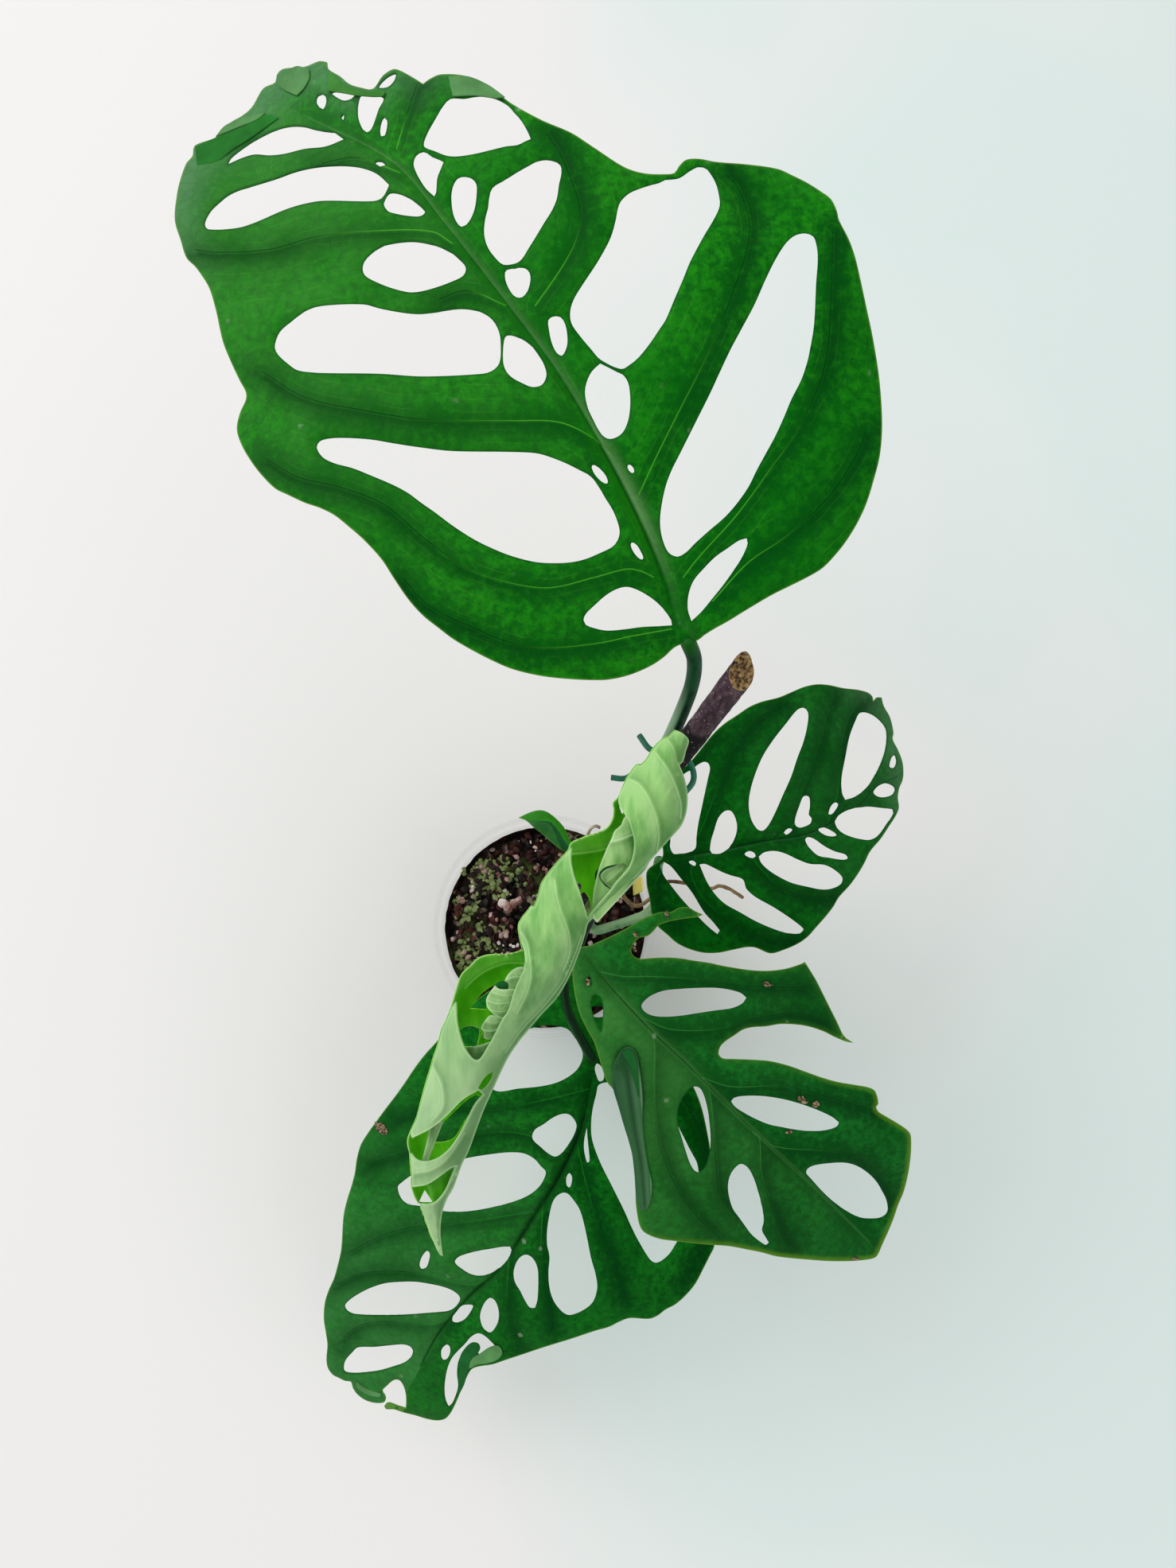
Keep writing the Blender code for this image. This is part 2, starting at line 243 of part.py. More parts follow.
# The leaf at the lower left, under the new leaf.
LOWER_LEFT_LEAF = {
    "name": "leaf_lower_left",
    "base": (27.2, -71.5, 150.0),
    "axis": (-0.56, -0.83),
    "length": 195.0,
    "arch": (46.0, -24.0, -62.0),
    "rise": 0.1,
    "droop": 0.0012,
    "dips": [(-110, -165, 20, -7), (40, -115, 25, -5), (-135, -125, 20, -4)],
    "midrib": [(-2, -9), (-5, -24), (-9, -37), (-18, -56), (-28, -72), (-48, -102), (-63, -116), (-78, -134),
               (-86, -148)],
    "outline": [
        (-77.5, 13.5), (-80, 10.5), (-85, 5), (-90, -1.5), (-95, -9), (-100, -16), (-105, -22.5), (-109, -28),
        (-113, -33.5), (-117, -40), (-119, -47), (-120, -54), (-121.5, -60), (-124, -68), (-125.7, -76),
        (-126.8, -92), (-128.5, -100), (-130.5, -107), (-133, -112.5), (-135, -119), (-135.5, -127),
        (-134.5, -134), (-133.7, -140), (-134.2, -147), (-133.5, -151.5), (-131, -155), (-128, -156.5),
        (-125, -158), (-122, -158.5), (-121, -161.5), (-119, -164.5), (-115, -167.5), (-110, -169),
        (-105.4, -168.7), (-104.5, -166.5), (-106.2, -163), (-104, -160.5), (-100.5, -157.6), (-98, -157.6),
        (-96, -160), (-94.7, -164), (-94.4, -168), (-94.6, -171.7), (-97.5, -170.9), (-101, -169.6),
        (-103.8, -169), (-105.4, -170.6), (-104.5, -172.1), (-100.5, -172.2), (-96, -173.7), (-90, -175.2),
        (-84, -177), (-79, -177.8), (-75, -177), (-72.5, -174.5), (-70, -170), (-67, -163), (-64.5, -157),
        (-62, -152.5), (-59, -151), (-51, -149.7), (-46, -148), (-36, -144.7), (-25, -141), (-12, -137),
        (0, -133), (7, -131), (12, -128.5), (17, -126.7), (27, -127), (31, -125.5), (35, -122.5),
        (40, -119.8), (45, -115.5), (50, -109.5), (54, -102), (57, -96), (59.5, -90.5), (60.5, -70),
        (58.5, -50), (56, -34), (52, -18), (45, -4), (35, 9), (24, 22), (12, 34), (0, 41), (-12, 45),
        (-25, 46), (-40, 43), (-54, 36), (-66, 26)],
    "holes": [
        [(-32, 18), (-27, 19.3), (-22, 19.5), (-16, 18.5), (-13, 17), (-10, 13), (-7.5, 9), (-6.2, 5), (-7, 1),
         (-9.5, -3), (-14, -6.5), (-20, -9.3), (-28, -11), (-38, -12), (-50, -13), (-56, -4), (-50, 8),
         (-42, 15)],
        [(-31.5, -36), (-30, -32.5), (-26, -30), (-21, -26.5), (-16.5, -24.7), (-13, -25), (-10.5, -27.5),
         (-9.3, -30.5), (-10.5, -35), (-13, -39.5), (-16.5, -44), (-20, -46), (-24, -44), (-28, -40.5),
         (-30.5, -38.3)],
        [(-98.5, -61), (-96, -58.5), (-92, -55.5), (-85, -52), (-75, -49.5), (-65, -47), (-60, -46),
         (-52, -44.8), (-45, -44), (-38, -44), (-34, -45), (-30, -47.5), (-27, -51), (-24.7, -53.5),
         (-25.5, -57), (-28, -61), (-32, -64.5), (-38, -67.5), (-46, -70), (-55, -72), (-64, -73.3),
         (-73, -73.5), (-80, -72.5), (-89, -70.5), (-94, -69.5), (-97, -66.5)],
        [(-70, -98), (-68, -96), (-64, -94.5), (-58, -93), (-52, -92), (-46, -91), (-42.5, -91), (-41.7, -93),
         (-43.5, -97), (-47, -101), (-52, -104.5), (-57, -105.7), (-62, -105), (-67, -102), (-69.5, -99.8)],
        [(-84, -93), (-82.6, -94.3), (-83, -98), (-84.5, -101.5), (-87, -102.3), (-87.7, -100), (-86.5, -96)],
        [(-125, -120.5), (-122.5, -117.5), (-118, -114.5), (-112, -111.5), (-105, -109.3), (-98, -108.6),
         (-90, -108.5), (-83, -109.5), (-76, -111), (-71, -113), (-68, -115.5), (-67.5, -117.5),
         (-69.5, -121), (-73, -123.2), (-80, -124), (-100, -125.3), (-120, -124.8), (-124, -123)],
        [(-67, -120.8), (-65, -120), (-61, -120.3), (-62, -123), (-65, -127), (-69, -129), (-71.5, -128.5),
         (-71.3, -126.2), (-69.3, -123.5)],
        [(-52.3, -116.5), (-54.5, -118), (-56.5, -121.5), (-57.5, -126), (-56.5, -130.5), (-54.5, -133.4),
         (-52.5, -134), (-50, -131.5), (-48.3, -127.5), (-48.3, -122.5), (-50, -118)],
        [(-35, -95), (-38, -96.8), (-40, -100.5), (-40.8, -105), (-40, -109), (-37.5, -113), (-35, -118),
         (-32.5, -121.5), (-30, -121.5), (-28.8, -117), (-28.5, -104), (-29.5, -99.5), (-32, -96)],
        [(-16, -64), (-19.5, -66), (-21.5, -69.5), (-23, -76), (-24, -83), (-24, -90), (-22.8, -96),
         (-23.3, -103), (-23, -110), (-21.5, -116.5), (-18, -122), (-14, -125), (-10, -124.5), (-5, -122),
         (-1.5, -119), (0.3, -115), (1, -110.5), (0, -104), (-2, -97), (-4, -87), (-6, -78), (-8, -72),
         (-11, -67.5), (-13.5, -64.7)],
        [(-13, -54.2), (-11.6, -56), (-12, -60), (-13, -61.5), (-14.2, -60.5), (-14.4, -56.5)],
        [(-125.5, -151), (-124.5, -147.5), (-121, -143.5), (-118.5, -141.3), (-110, -141), (-102, -140.2),
         (-96, -139.8), (-92.5, -140.8), (-91, -143), (-92, -146), (-95.5, -149), (-101, -151), (-108, -153),
         (-115, -154), (-121, -154.3), (-125, -153.5)],
        [(-74, -139.8), (-72.6, -141), (-72.5, -144), (-74, -147), (-76, -147.8), (-77, -145.5),
         (-76.5, -142)],
        [(-58.5, -134.2), (-62, -136), (-65, -139.5), (-68.5, -143), (-71.5, -146.5), (-73.5, -151),
         (-74.8, -157), (-75.2, -163), (-74.6, -168), (-73.2, -171), (-71.6, -169.5), (-70, -166),
         (-68.7, -162), (-68.5, -159), (-69, -154.5), (-68.5, -149), (-66.5, -144), (-63.5, -140.3),
         (-60, -139), (-58, -141), (-58.5, -144), (-56, -147), (-53, -144), (-50, -140.5), (-53.4, -137),
         (-56, -135)],
        [(2, -10), (0.5, -15), (-1.2, -22), (-2, -29), (-1.8, -36), (-0.2, -42), (3, -50), (8, -60), (14, -72),
         (19, -83), (23, -90.5), (27.5, -97.5), (30, -99), (33, -98), (37, -94.5), (40.5, -89), (45, -82),
         (49, -72), (51.5, -60), (51, -50), (47, -42), (43.5, -35), (38, -25), (30, -17), (20, -11), (10, -9)],
        [(0.8, 0.5), (-0.2, -2), (0.8, -6), (2, -8.4), (4, -7.8), (4.3, -4.5), (3, -1)]],
}

# The small folded leaf behind the new leaf, low over the mix.
SMALL_LEAF = {
    "name": "leaf_small",
    "base": (21.9, 28.9, 135.0),
    "axis": (-0.8, 0.6),
    "length": 42.0,
    "arch": (14.0, 0.0, -12.0),
    "rise": -0.45,
    "droop": 0.0,
    "dips": [],
    "midrib": [(-4, 5.5), (-11, 15), (-14, 20), (-18, 24), (-24, 24.6)],
    "outline": [
        (-35, 26), (-29, 28.8), (-24, 30), (-20, 29.2), (-15, 25.5), (-11, 21), (-8, 15), (-6.5, 12), (-3, 5),
        (0, 0), (-4, 2), (-9.5, 7.5), (-13, 9.5), (-18, 13.5), (-22, 17), (-27, 21), (-31, 24.5)],
    "holes": [],
}

# The new leaf is a slender spindle: at each distance from its top, where its middle is and how wide it is.
ROLL_BASE = (54.0, 43.8, 390.0)
ROLL_ALONG = Vector((-0.4227, -0.9063))
ROLL_ACROSS = Vector((0.9063, -0.4227))
ROLL_LENGTH = 181.3
ROLL_DROP = 77.0            # how far its lower tip hangs below its top, along the line of sight
ROLL_WALL = 0.9
ROLL_RINGS = [
    (0.0, -0.5, 2.7), (9.0, -2.3, 4.9), (15.0, -0.7, 9.0), (18.5, -0.25, 10.1), (27.0, 0.3, 10.8),
    (33.0, 0.0, 9.3), (36.3, -0.45, 9.0), (41.5, -3.2, 10.6), (46.0, -5.7, 12.1), (52.0, -7.2, 11.7),
    (58.0, -9.1, 11.3), (66.0, -11.0, 9.2), (71.0, -11.4, 9.9), (76.0, -11.5, 10.4), (83.5, -9.1, 8.4),
    (86.4, -11.2, 10.3), (89.0, -13.8, 12.7), (92.0, -15.4, 14.0), (98.0, -17.5, 14.2), (105.0, -18.0, 12.9),
    (115.0, -18.7, 11.3), (127.0, -18.0, 10.5), (140.0, -16.7, 9.7), (152.0, -15.7, 9.4), (160.0, -13.3, 7.5),
    (166.0, -11.5, 5.9), (169.2, -9.6, 4.1), (173.0, -7.0, 2.8), (177.6, -3.5, 1.5), (181.3, 0.0, 0.7)]

# Gaps between its turns, on the same flat sheet. The first number is how far the gap reaches behind the middle.
ROLL_GAPS = [
    (0, [(-35.2, -36), (-35.4, -39), (-34.6, -44), (-33, -49), (-31.5, -53.5), (-30.3, -56.5), (-29, -55.5),
         (-24, -50), (-21, -46), (-17.5, -42), (-16, -38), (-15.7, -34), (-16.3, -31), (-17.5, -27),
         (-19.5, -24), (-23, -29.3), (-27, -32), (-30, -33)]),
    (0, [(-70, -78), (-71.2, -84), (-71.3, -91), (-69.5, -97.5), (-67.5, -100.8), (-66, -102.2), (-64.5, -101.5),
         (-62, -98.5), (-60, -95), (-57.5, -90), (-55.5, -87), (-54, -82), (-52.5, -78), (-51, -73.5),
         (-54, -71.5), (-60, -71), (-65, -72.8)]),
    (40, [(-67.5, -86), (-64, -81.5), (-60.5, -79), (-57, -78), (-60, -80), (-61.5, -83), (-62.3, -86)]),
    (0, [(-65, -112.4), (-70, -115.4), (-75, -120.4), (-80, -124.4), (-85, -127.2), (-85.6, -131),
         (-84, -133.8), (-79.5, -133.9), (-75, -131.2), (-71.5, -126.7), (-68.5, -121.2), (-66, -116.2),
         (-64.2, -113.2)]),
    (40, [(-80, -126.5), (-76, -122.5), (-69, -116), (-68.5, -119), (-72.5, -125), (-77, -127.5)]),
    (0, [(-84.5, -143.4), (-82, -142.8), (-79, -141.3), (-74.5, -138.3), (-74.5, -142), (-76, -144.5),
         (-78, -146.5), (-80, -147.5), (-82.3, -147.3)]),
    (40, [(-82, -144), (-83, -146.8), (-80, -146.8)])]


def clear_scene():
    """Remove the objects of a new file."""
    for item in list(bpy.data.objects):
        bpy.data.objects.remove(item, do_unlink=True)


def new_collection(name):
    """A collection under the scene."""
    collection = bpy.data.collections.new(name)
    bpy.context.scene.collection.children.link(collection)
    return collection


def material(name, colour, roughness, alpha=1.0):
    """A Principled material from a linear colour."""
    made = bpy.data.materials.new(name)
    made.use_nodes = True
    shader = made.node_tree.nodes["Principled BSDF"]
    shader.inputs["Base Color"].default_value = (*colour, 1.0)
    shader.inputs["Roughness"].default_value = roughness
    shader.inputs["Metallic"].default_value = 0.0
    shader.inputs["Alpha"].default_value = alpha
    return made


def add_object(name, mesh, look, collection):
    """An object with one material, in its collection."""
    made = bpy.data.objects.new(name, mesh)
    collection.objects.link(made)
    if look:
        mesh.materials.append(look)
    return made


def cut(target, cutter):
    """Leave a Boolean difference on the target."""
    cutter.hide_render = True
    cutter.display_type = "WIRE"
    modifier = target.modifiers.new("cut_" + cutter.name, "BOOLEAN")
    modifier.operation = "DIFFERENCE"
    modifier.object = cutter


def smooth_path(points, steps):
    """Points along a smooth curve through the given ones, with the given steps between two of them."""
    ends = [points[0] * 2 - points[1], *points, points[-1] * 2 - points[-2]]
    path = []
    for first, start, end, last in zip(ends, ends[1:], ends[2:], ends[3:]):
        for step in range(steps):
            t = step / steps
            path.append(0.5 * (2 * start + (end - first) * t + (2 * first - 5 * start + 4 * end - last) * t ** 2
                               + (3 * start - first - 3 * end + last) * t ** 3))
    return [*path, points[-1]]


def tube(name, points, radius, look, collection, steps=3, taper=None):
    """A round closed tube along a smooth path. Taper gives its relative thickness from 0 to 1 along it."""
    path = smooth_path([Vector(point) for point in points], steps)
    curve = bpy.data.curves.new(name + "_path", "CURVE")
    curve.dimensions = "3D"
    curve.bevel_depth = radius * MM
    curve.bevel_resolution = 2
    curve.use_fill_caps = True
    spline = curve.splines.new("POLY")
    spline.points.add(len(path) - 1)
    for index, point in enumerate(path):
        spline.points[index].co = (*(point * MM), 1.0)
        if taper:
            spline.points[index].radius = taper(index / (len(path) - 1))
    drawn = add_object(name + "_path", curve, None, collection)
    evaluated = drawn.evaluated_get(bpy.context.evaluated_depsgraph_get())
    mesh = bpy.data.meshes.new_from_object(evaluated)
    mesh.name = name
    bpy.data.objects.remove(drawn, do_unlink=True)
    shape = bmesh.new()
    shape.from_mesh(mesh)
    bmesh.ops.remove_doubles(shape, verts=shape.verts, dist=0.00001)
    shape.to_mesh(mesh)
    shape.free()
    return add_object(name, mesh, look, collection)


def rod_cutter(name, start, end, radius):
    """A round cutter between two points."""
    axis = end - start
    bpy.ops.mesh.primitive_cylinder_add(vertices=16, radius=radius * MM, depth=axis.length * MM)
    made = bpy.context.object
    made.name = name
    made.location = (start + end) * 0.5 * MM
    made.rotation_euler = axis.to_track_quat("Z", "Y").to_euler()
    for owner in made.users_collection:
        owner.objects.unlink(made)
    cutters.objects.link(made)
    return made


def stake_at(height):
    """Centre of the stake at a height."""
    return STAKE_LOW.lerp(STAKE_HIGH, (height - STAKE_LOW.z) / (STAKE_HIGH.z - STAKE_LOW.z))


def sheet_point(base, x, y, relief):
    """The point of a leaf's sheet slid along its line of sight by its relief, towards the viewer."""
    flat = Vector(base) + SHEET_RIGHT * x + SHEET_UP * y
    depth = (VIEW_POINT - Vector(base)).dot(SHEET_OUT)
    return VIEW_POINT + (flat - VIEW_POINT) * (1.0 - relief / depth)


def inside(point, loop):
    """Whether a flat point lies inside a closed outline."""
    x, y = point
    hit = False
    for (ax, ay), (bx, by) in zip(loop, loop[1:] + loop[:1]):
        if (ay > y) != (by > y) and x < ax + (bx - ax) * (y - ay) / (by - ay):
            hit = not hit
    return hit


def distance_to_lines(point, lines):
    """Shortest distance from a flat point to a set of straight pieces."""
    here = Vector(point)
    best = math.inf
    for start, end in lines:
        a = Vector(start)
        along = Vector(end) - a
        t = min(1.0, max(0.0, (here - a).dot(along) / max(along.length_squared, 1e-9)))
        best = min(best, (here - a - along * t).length)
    return best


def leaf_relief(leaf, x, y):
    """Arch along the midrib, rise and droop to its sides, and local dips."""
    along = (x * leaf["axis"][0] + y * leaf["axis"][1]) / leaf["length"]
    side = distance_to_lines((x, y), list(zip(leaf["midrib"], leaf["midrib"][1:])))
    first, second, third = leaf["arch"]
    relief = first * along + second * along ** 2 + third * along ** 3
    relief += leaf["rise"] * side - leaf["droop"] * side ** 2
    for dip_x, dip_y, reach, height in leaf["dips"]:
        relief += height * math.exp(-((x - dip_x) ** 2 + (y - dip_y) ** 2) / reach ** 2)
    return relief


def inner_points(loops, lines, spacing):
    """A triangular pattern of points inside the outline, clear of its edges, its holes and its midrib."""
    xs = [x for x, _ in loops[0]]
    ys = [y for _, y in loops[0]]
    points = []
    rows = int((max(ys) - min(ys)) / (spacing * 0.87)) + 1
    columns = int((max(xs) - min(xs)) / spacing) + 2
    for row in range(rows):
        for column in range(columns):
            point = (min(xs) + spacing * (column - 0.5 * (row % 2)), min(ys) + spacing * 0.87 * row)
            if not inside(point, loops[0]) or any(inside(point, hole) for hole in loops[1:]):
                continue
            if distance_to_lines(point, lines) > 0.45 * spacing:
                points.append(point)
    return points


def blade(leaf, look):
    """A leaf blade: its flat outline and holes, divided into triangles, arched and given its thickness."""
    loops = [leaf["outline"], *leaf["holes"]]
    points = []
    edges = []
    lines = []
    for loop in loops:
        first = len(points)
        points.extend(loop)
        edges.extend((first + i, first + (i + 1) % len(loop)) for i in range(len(loop)))
        lines.extend(zip(loop, loop[1:] + loop[:1]))
    first = len(points)
    points.extend(leaf["midrib"])
    edges.extend((first + i, first + i + 1) for i in range(len(leaf["midrib"]) - 1))
    lines.extend(zip(leaf["midrib"], leaf["midrib"][1:]))
    points.extend(inner_points(loops, lines, BLADE_SPACING))
    flat = [Vector(point) for point in points]
    corners, _, triangles, *_ = geometry.delaunay_2d_cdt(flat, edges, [], 0, 1e-5, True)
    shape = bmesh.new()
    made = [shape.verts.new(sheet_point(leaf["base"], x, y, leaf_relief(leaf, x, y)) * MM) for x, y in corners]
    for triangle in triangles:
        centre = sum((corners[i] for i in triangle), Vector((0.0, 0.0))) / 3
        if not inside(centre, loops[0]) or any(inside(centre, hole) for hole in loops[1:]):
            continue
        face = shape.faces.new([made[i] for i in triangle])
        face.normal_update()
        if face.normal.dot(SHEET_OUT) < 0:
            face.normal_flip()
    bmesh.ops.delete(shape, geom=[vert for vert in shape.verts if not vert.link_faces], context="VERTS")
    mesh = bpy.data.meshes.new(leaf["name"])
    shape.to_mesh(mesh)
    shape.free()
    made = add_object(leaf["name"], mesh, look, parts)
    thick = made.modifiers.new("thickness", "SOLIDIFY")
    thick.thickness = BLADE_THICKNESS * MM
    thick.offset = -1.0
    return made


def roll_relief(along):
    """How far behind its top the rolled leaf's middle lies."""
    return -ROLL_DROP * along / ROLL_LENGTH


def spindle(name, rings, inset, sides):
    """A closed loft through the new leaf's rings, each inset by the same amount."""
    shape = bmesh.new()
    loops = []
    for along, middle, half_width in rings:
        radius = half_width - inset
        depth_radius = radius * (1.0 + 0.2 * along / ROLL_LENGTH)
        loop = []
        for side in range(sides):
            angle = 2 * math.pi * side / sides
            flat = ROLL_ALONG * along + ROLL_ACROSS * (middle + radius * math.cos(angle))
            relief = roll_relief(along) + depth_radius * math.sin(angle)
            loop.append(shape.verts.new(sheet_point(ROLL_BASE, flat.x, flat.y, relief) * MM))
        loops.append(loop)
    for loop, following in zip(loops, loops[1:]):
        for side in range(sides):
            after = (side + 1) % sides
            shape.faces.new((loop[side], loop[after], following[after], following[side]))
    shape.faces.new(loops[0])
    shape.faces.new(loops[-1])
    bmesh.ops.recalc_face_normals(shape, faces=shape.faces)
    bmesh.ops.triangulate(shape, faces=shape.faces)
    mesh = bpy.data.meshes.new(name)
    shape.to_mesh(mesh)
    shape.free()
    return mesh


def sight_cutter(name, outline, reach):
    """A prism along the lines of sight, from in front of the new leaf to a reach behind its middle."""
    shape = bmesh.new()
    front = []
    back = []
    for x, y in outline:
        along = Vector((x, y)).dot(ROLL_ALONG)
        front.append(shape.verts.new(sheet_point(ROLL_BASE, x, y, roll_relief(along) + 30.0) * MM))
        back.append(shape.verts.new(sheet_point(ROLL_BASE, x, y, roll_relief(along) - reach) * MM))
    count = len(outline)
    for index in range(count):
        after = (index + 1) % count
        shape.faces.new((front[index], front[after], back[after], back[index]))
    shape.faces.new(front)
    shape.faces.new(back)
    bmesh.ops.triangulate(shape, faces=shape.faces)
    bmesh.ops.recalc_face_normals(shape, faces=shape.faces)
    mesh = bpy.data.meshes.new(name)
    shape.to_mesh(mesh)
    shape.free()
    return add_object(name, mesh, None, cutters)


def turned(name, profile, look, segments):
    """A profile of (radius, height) millimetres turned round Z."""
    mesh = bpy.data.meshes.new(name)
    points = [(radius * MM, 0.0, height * MM) for radius, height in profile]
    mesh.from_pydata(points, [(i, i + 1) for i in range(len(points) - 1)], [])
    made = add_object(name, mesh, look, parts)
    screw = made.modifiers.new("turn", "SCREW")
    screw.steps = segments
    screw.render_steps = segments
    screw.use_merge_vertices = True
    screw.merge_threshold = 0.00001
    return made


def mix_height(x, y):
    """Top of the mix at a point: chunks of bark and pumice over a gently uneven level."""
    swell = 2.0 * noise.noise(Vector((x, y, 3.0)) / 30.0)
    near, far = noise.voronoi(Vector((x, y, 0.0)) / 9.0)[0][:2]
    chunk = 3.4 * min(1.0, 2.2 * (far - near))
    return MIX_LEVEL + swell + chunk - 1.5


def potting_mix(look):
    """The mix: a plug that fills the pot, its top raised into chunks."""
    sectors = 44
    radii = [7.0, 12.5, 18.0, 23.5, 29.0, 34.5, 39.5, 44.0, 48.0, 51.5]
    outer = [(inner_radius(MIX_LEVEL - 4.0) - GAP, MIX_LEVEL - 4.0), (inner_radius(POT_FLOOR) - GAP, POT_FLOOR + GAP)]
    shape = bmesh.new()
    centre = shape.verts.new((0.0, 0.0, mix_height(0.0, 0.0) * MM))
    loops = []
    for ring, radius in enumerate(radii):
        loop = []
        for sector in range(sectors):
            angle = 2 * math.pi * (sector + 0.5 * (ring % 2)) / sectors
            x = radius * math.cos(angle)
            y = radius * math.sin(angle)
            loop.append(shape.verts.new((x * MM, y * MM, mix_height(x, y) * MM)))
        loops.append(loop)
    for radius, height in outer:
        loops.append([shape.verts.new((radius * MM * math.cos(2 * math.pi * sector / sectors),
                                       radius * MM * math.sin(2 * math.pi * sector / sectors), height * MM))
                      for sector in range(sectors)])
    for sector in range(sectors):
        shape.faces.new((centre, loops[0][sector], loops[0][(sector + 1) % sectors]))
    for loop, following in zip(loops, loops[1:]):
        for sector in range(sectors):
            after = (sector + 1) % sectors
            shape.faces.new((loop[sector], following[sector], following[after], loop[after]))
    shape.faces.new(loops[-1])
    bmesh.ops.triangulate(shape, faces=shape.faces)
    bmesh.ops.recalc_face_normals(shape, faces=shape.faces)
    mesh = bpy.data.meshes.new("potting_mix")
    shape.to_mesh(mesh)
    shape.free()
    return add_object("potting_mix", mesh, look, parts)


def inner_radius(height):
    """Inside radius of the pot's wall below its rim."""
    return POT_BASE_RADIUS + POT_WALL_FLARE * height - POT_WALL


clear_scene()
parts = new_collection("potted_monstera")
cutters = new_collection("cutters")

clear_plastic = material("clear_plastic", (0.82, 0.86, 0.86), 0.25, 0.35)
bark_mix = material("bark_mix", (0.045, 0.022, 0.018), 0.95)
twig_bark = material("twig_bark", (0.16, 0.085, 0.08), 0.9)
stem_green = material("stem_green", (0.09, 0.17, 0.04), 0.6)
petiole_green = material("petiole_green", (0.2, 0.42, 0.12), 0.45)
big_green = material("big_leaf_green", (0.015, 0.16, 0.015), 0.4)
dark_green = material("right_leaf_green", (0.008, 0.075, 0.015), 0.4)
mid_green = material("lower_leaf_green", (0.02, 0.13, 0.025), 0.4)
new_green = material("new_leaf_green", (0.24, 0.5, 0.13), 0.45)
tie_green = material("tie_green", (0.0, 0.08, 0.045), 0.4)
label_yellow = material("label_yellow", (0.8, 0.62, 0.05), 0.5)
root_brown = material("root_brown", (0.2, 0.13, 0.06), 0.8)

# The pot: a thin clear cup with a stepped rim, and drainage holes in its floor.
wall_top = POT_BASE_RADIUS + POT_WALL_FLARE * RIM_START
pot = turned("pot", [
    (0.0, POT_FLOOR), (inner_radius(POT_FLOOR), POT_FLOOR), (inner_radius(RIM_START + 1.0), RIM_START + 1.0),
    (RIM_RADIUS - 1.9, RIM_START + 1.6), (RIM_RADIUS - 1.3, POT_HEIGHT - 0.6), (RIM_RADIUS - 0.8, POT_HEIGHT),
    (RIM_RADIUS - 0.2, POT_HEIGHT - 0.4), (RIM_RADIUS, POT_HEIGHT - 1.2), (RIM_RADIUS - 0.5, RIM_START + 0.4),
    (wall_top, RIM_START), (POT_BASE_RADIUS + 0.7, 1.2), (POT_BASE_RADIUS - 0.4, 0.0), (0.0, 0.0)][::-1],
    clear_plastic, 48)
for hole in range(8):
    angle = 2 * math.pi * (hole + 0.5) / 8
    spot = Vector((28.0 * math.cos(angle), 28.0 * math.sin(angle), 0.0))
    cut(pot, rod_cutter("drain_%d" % hole, spot - Vector((0, 0, 3)), spot + Vector((0, 0, 5)), 4.0))

# The mix, with a plain hole for each thing that stands in it.
stem_route = [(15.5, -5.5, 86), (20, 2, 120), (26.5, 14.5, 150), (33, 24, 180), (38.8, 32.4, 210),
              (44.2, 39.3, 236), (48.1, 44.2, 262), (51.2, 49.2, 288), (53, 53.5, 312)]
mix = potting_mix(bark_mix)
stake_foot = stake_at(14.0)
cut(mix, rod_cutter("stake_hole", stake_at(13.0), stake_at(125.0), STAKE_RADIUS + 0.7))
cut(mix, rod_cutter("stem_hole", Vector((15.0, -6.3, 82.5)), Vector((19.0, 0.4, 116.0)), 4.9))

# The stake: a straight twig with small knuckles, cut off at a slant.
knuckles = [0.93, 1.0, 0.95, 1.02, 0.94, 0.98, 1.04, 0.96, 1.0, 1.03, 1.07]
twig_path = []
for step in range(len(knuckles)):
    part_way = step / (len(knuckles) - 1)
    sway = 0.6 * math.sin(7.0 * part_way)
    twig_path.append(stake_foot.lerp(STAKE_HIGH, part_way) + Vector((sway, -sway, 0.0)))
stake = tube("stake", [*twig_path, STAKE_HIGH + (STAKE_HIGH - STAKE_LOW).normalized() * 8.0], STAKE_RADIUS,
             twig_bark, parts, steps=1, taper=lambda t: knuckles[min(10, round(t * 11))])
slant = bmesh.new()
slant.from_mesh(stake.data)
bmesh.ops.bisect_plane(slant, geom=[*slant.verts, *slant.edges, *slant.faces], plane_co=STAKE_HIGH * MM,
                       plane_no=Vector((0.35, -0.45, 0.82)), clear_outer=True)
bmesh.ops.holes_fill(slant, edges=[edge for edge in slant.edges if edge.is_boundary])
slant.to_mesh(stake.data)
slant.free()

# The stem climbs beside the stake, and each petiole starts at its surface.
tube("stem", stem_route, 3.9, stem_green, parts, steps=2, taper=lambda t: 1.0 - 0.1 * t)
tube("petiole_big", [(53.4, 56.4, 312.5), (55, 58.5, 330), (59.8, 69.5, 350), (60.3, 76.5, 361),
                     (57.75, 80.9, 368.2)], 2.85, petiole_green, parts, taper=lambda t: 0.92 + 0.15 * abs(2 * t - 1))
tube("petiole_new", [(51.2, 50.9, 313.3), (49.6, 52, 326), (50, 50.8, 342), (52, 48.3, 362), (53.7, 45.9, 385.9)],
     2.0, petiole_green, parts)
tube("petiole_right", [(23.7, -0.3, 121), (28, -3.4, 122), (36, -1.5, 124.5), (46, 1.5, 128.5), (54, 4.5, 135),
                       (58.5, 10, 150), (58.5, 18.5, 168), (57.6, 24, 180), (57.95, 26.7, 187)], 2.5,
     petiole_green, parts)
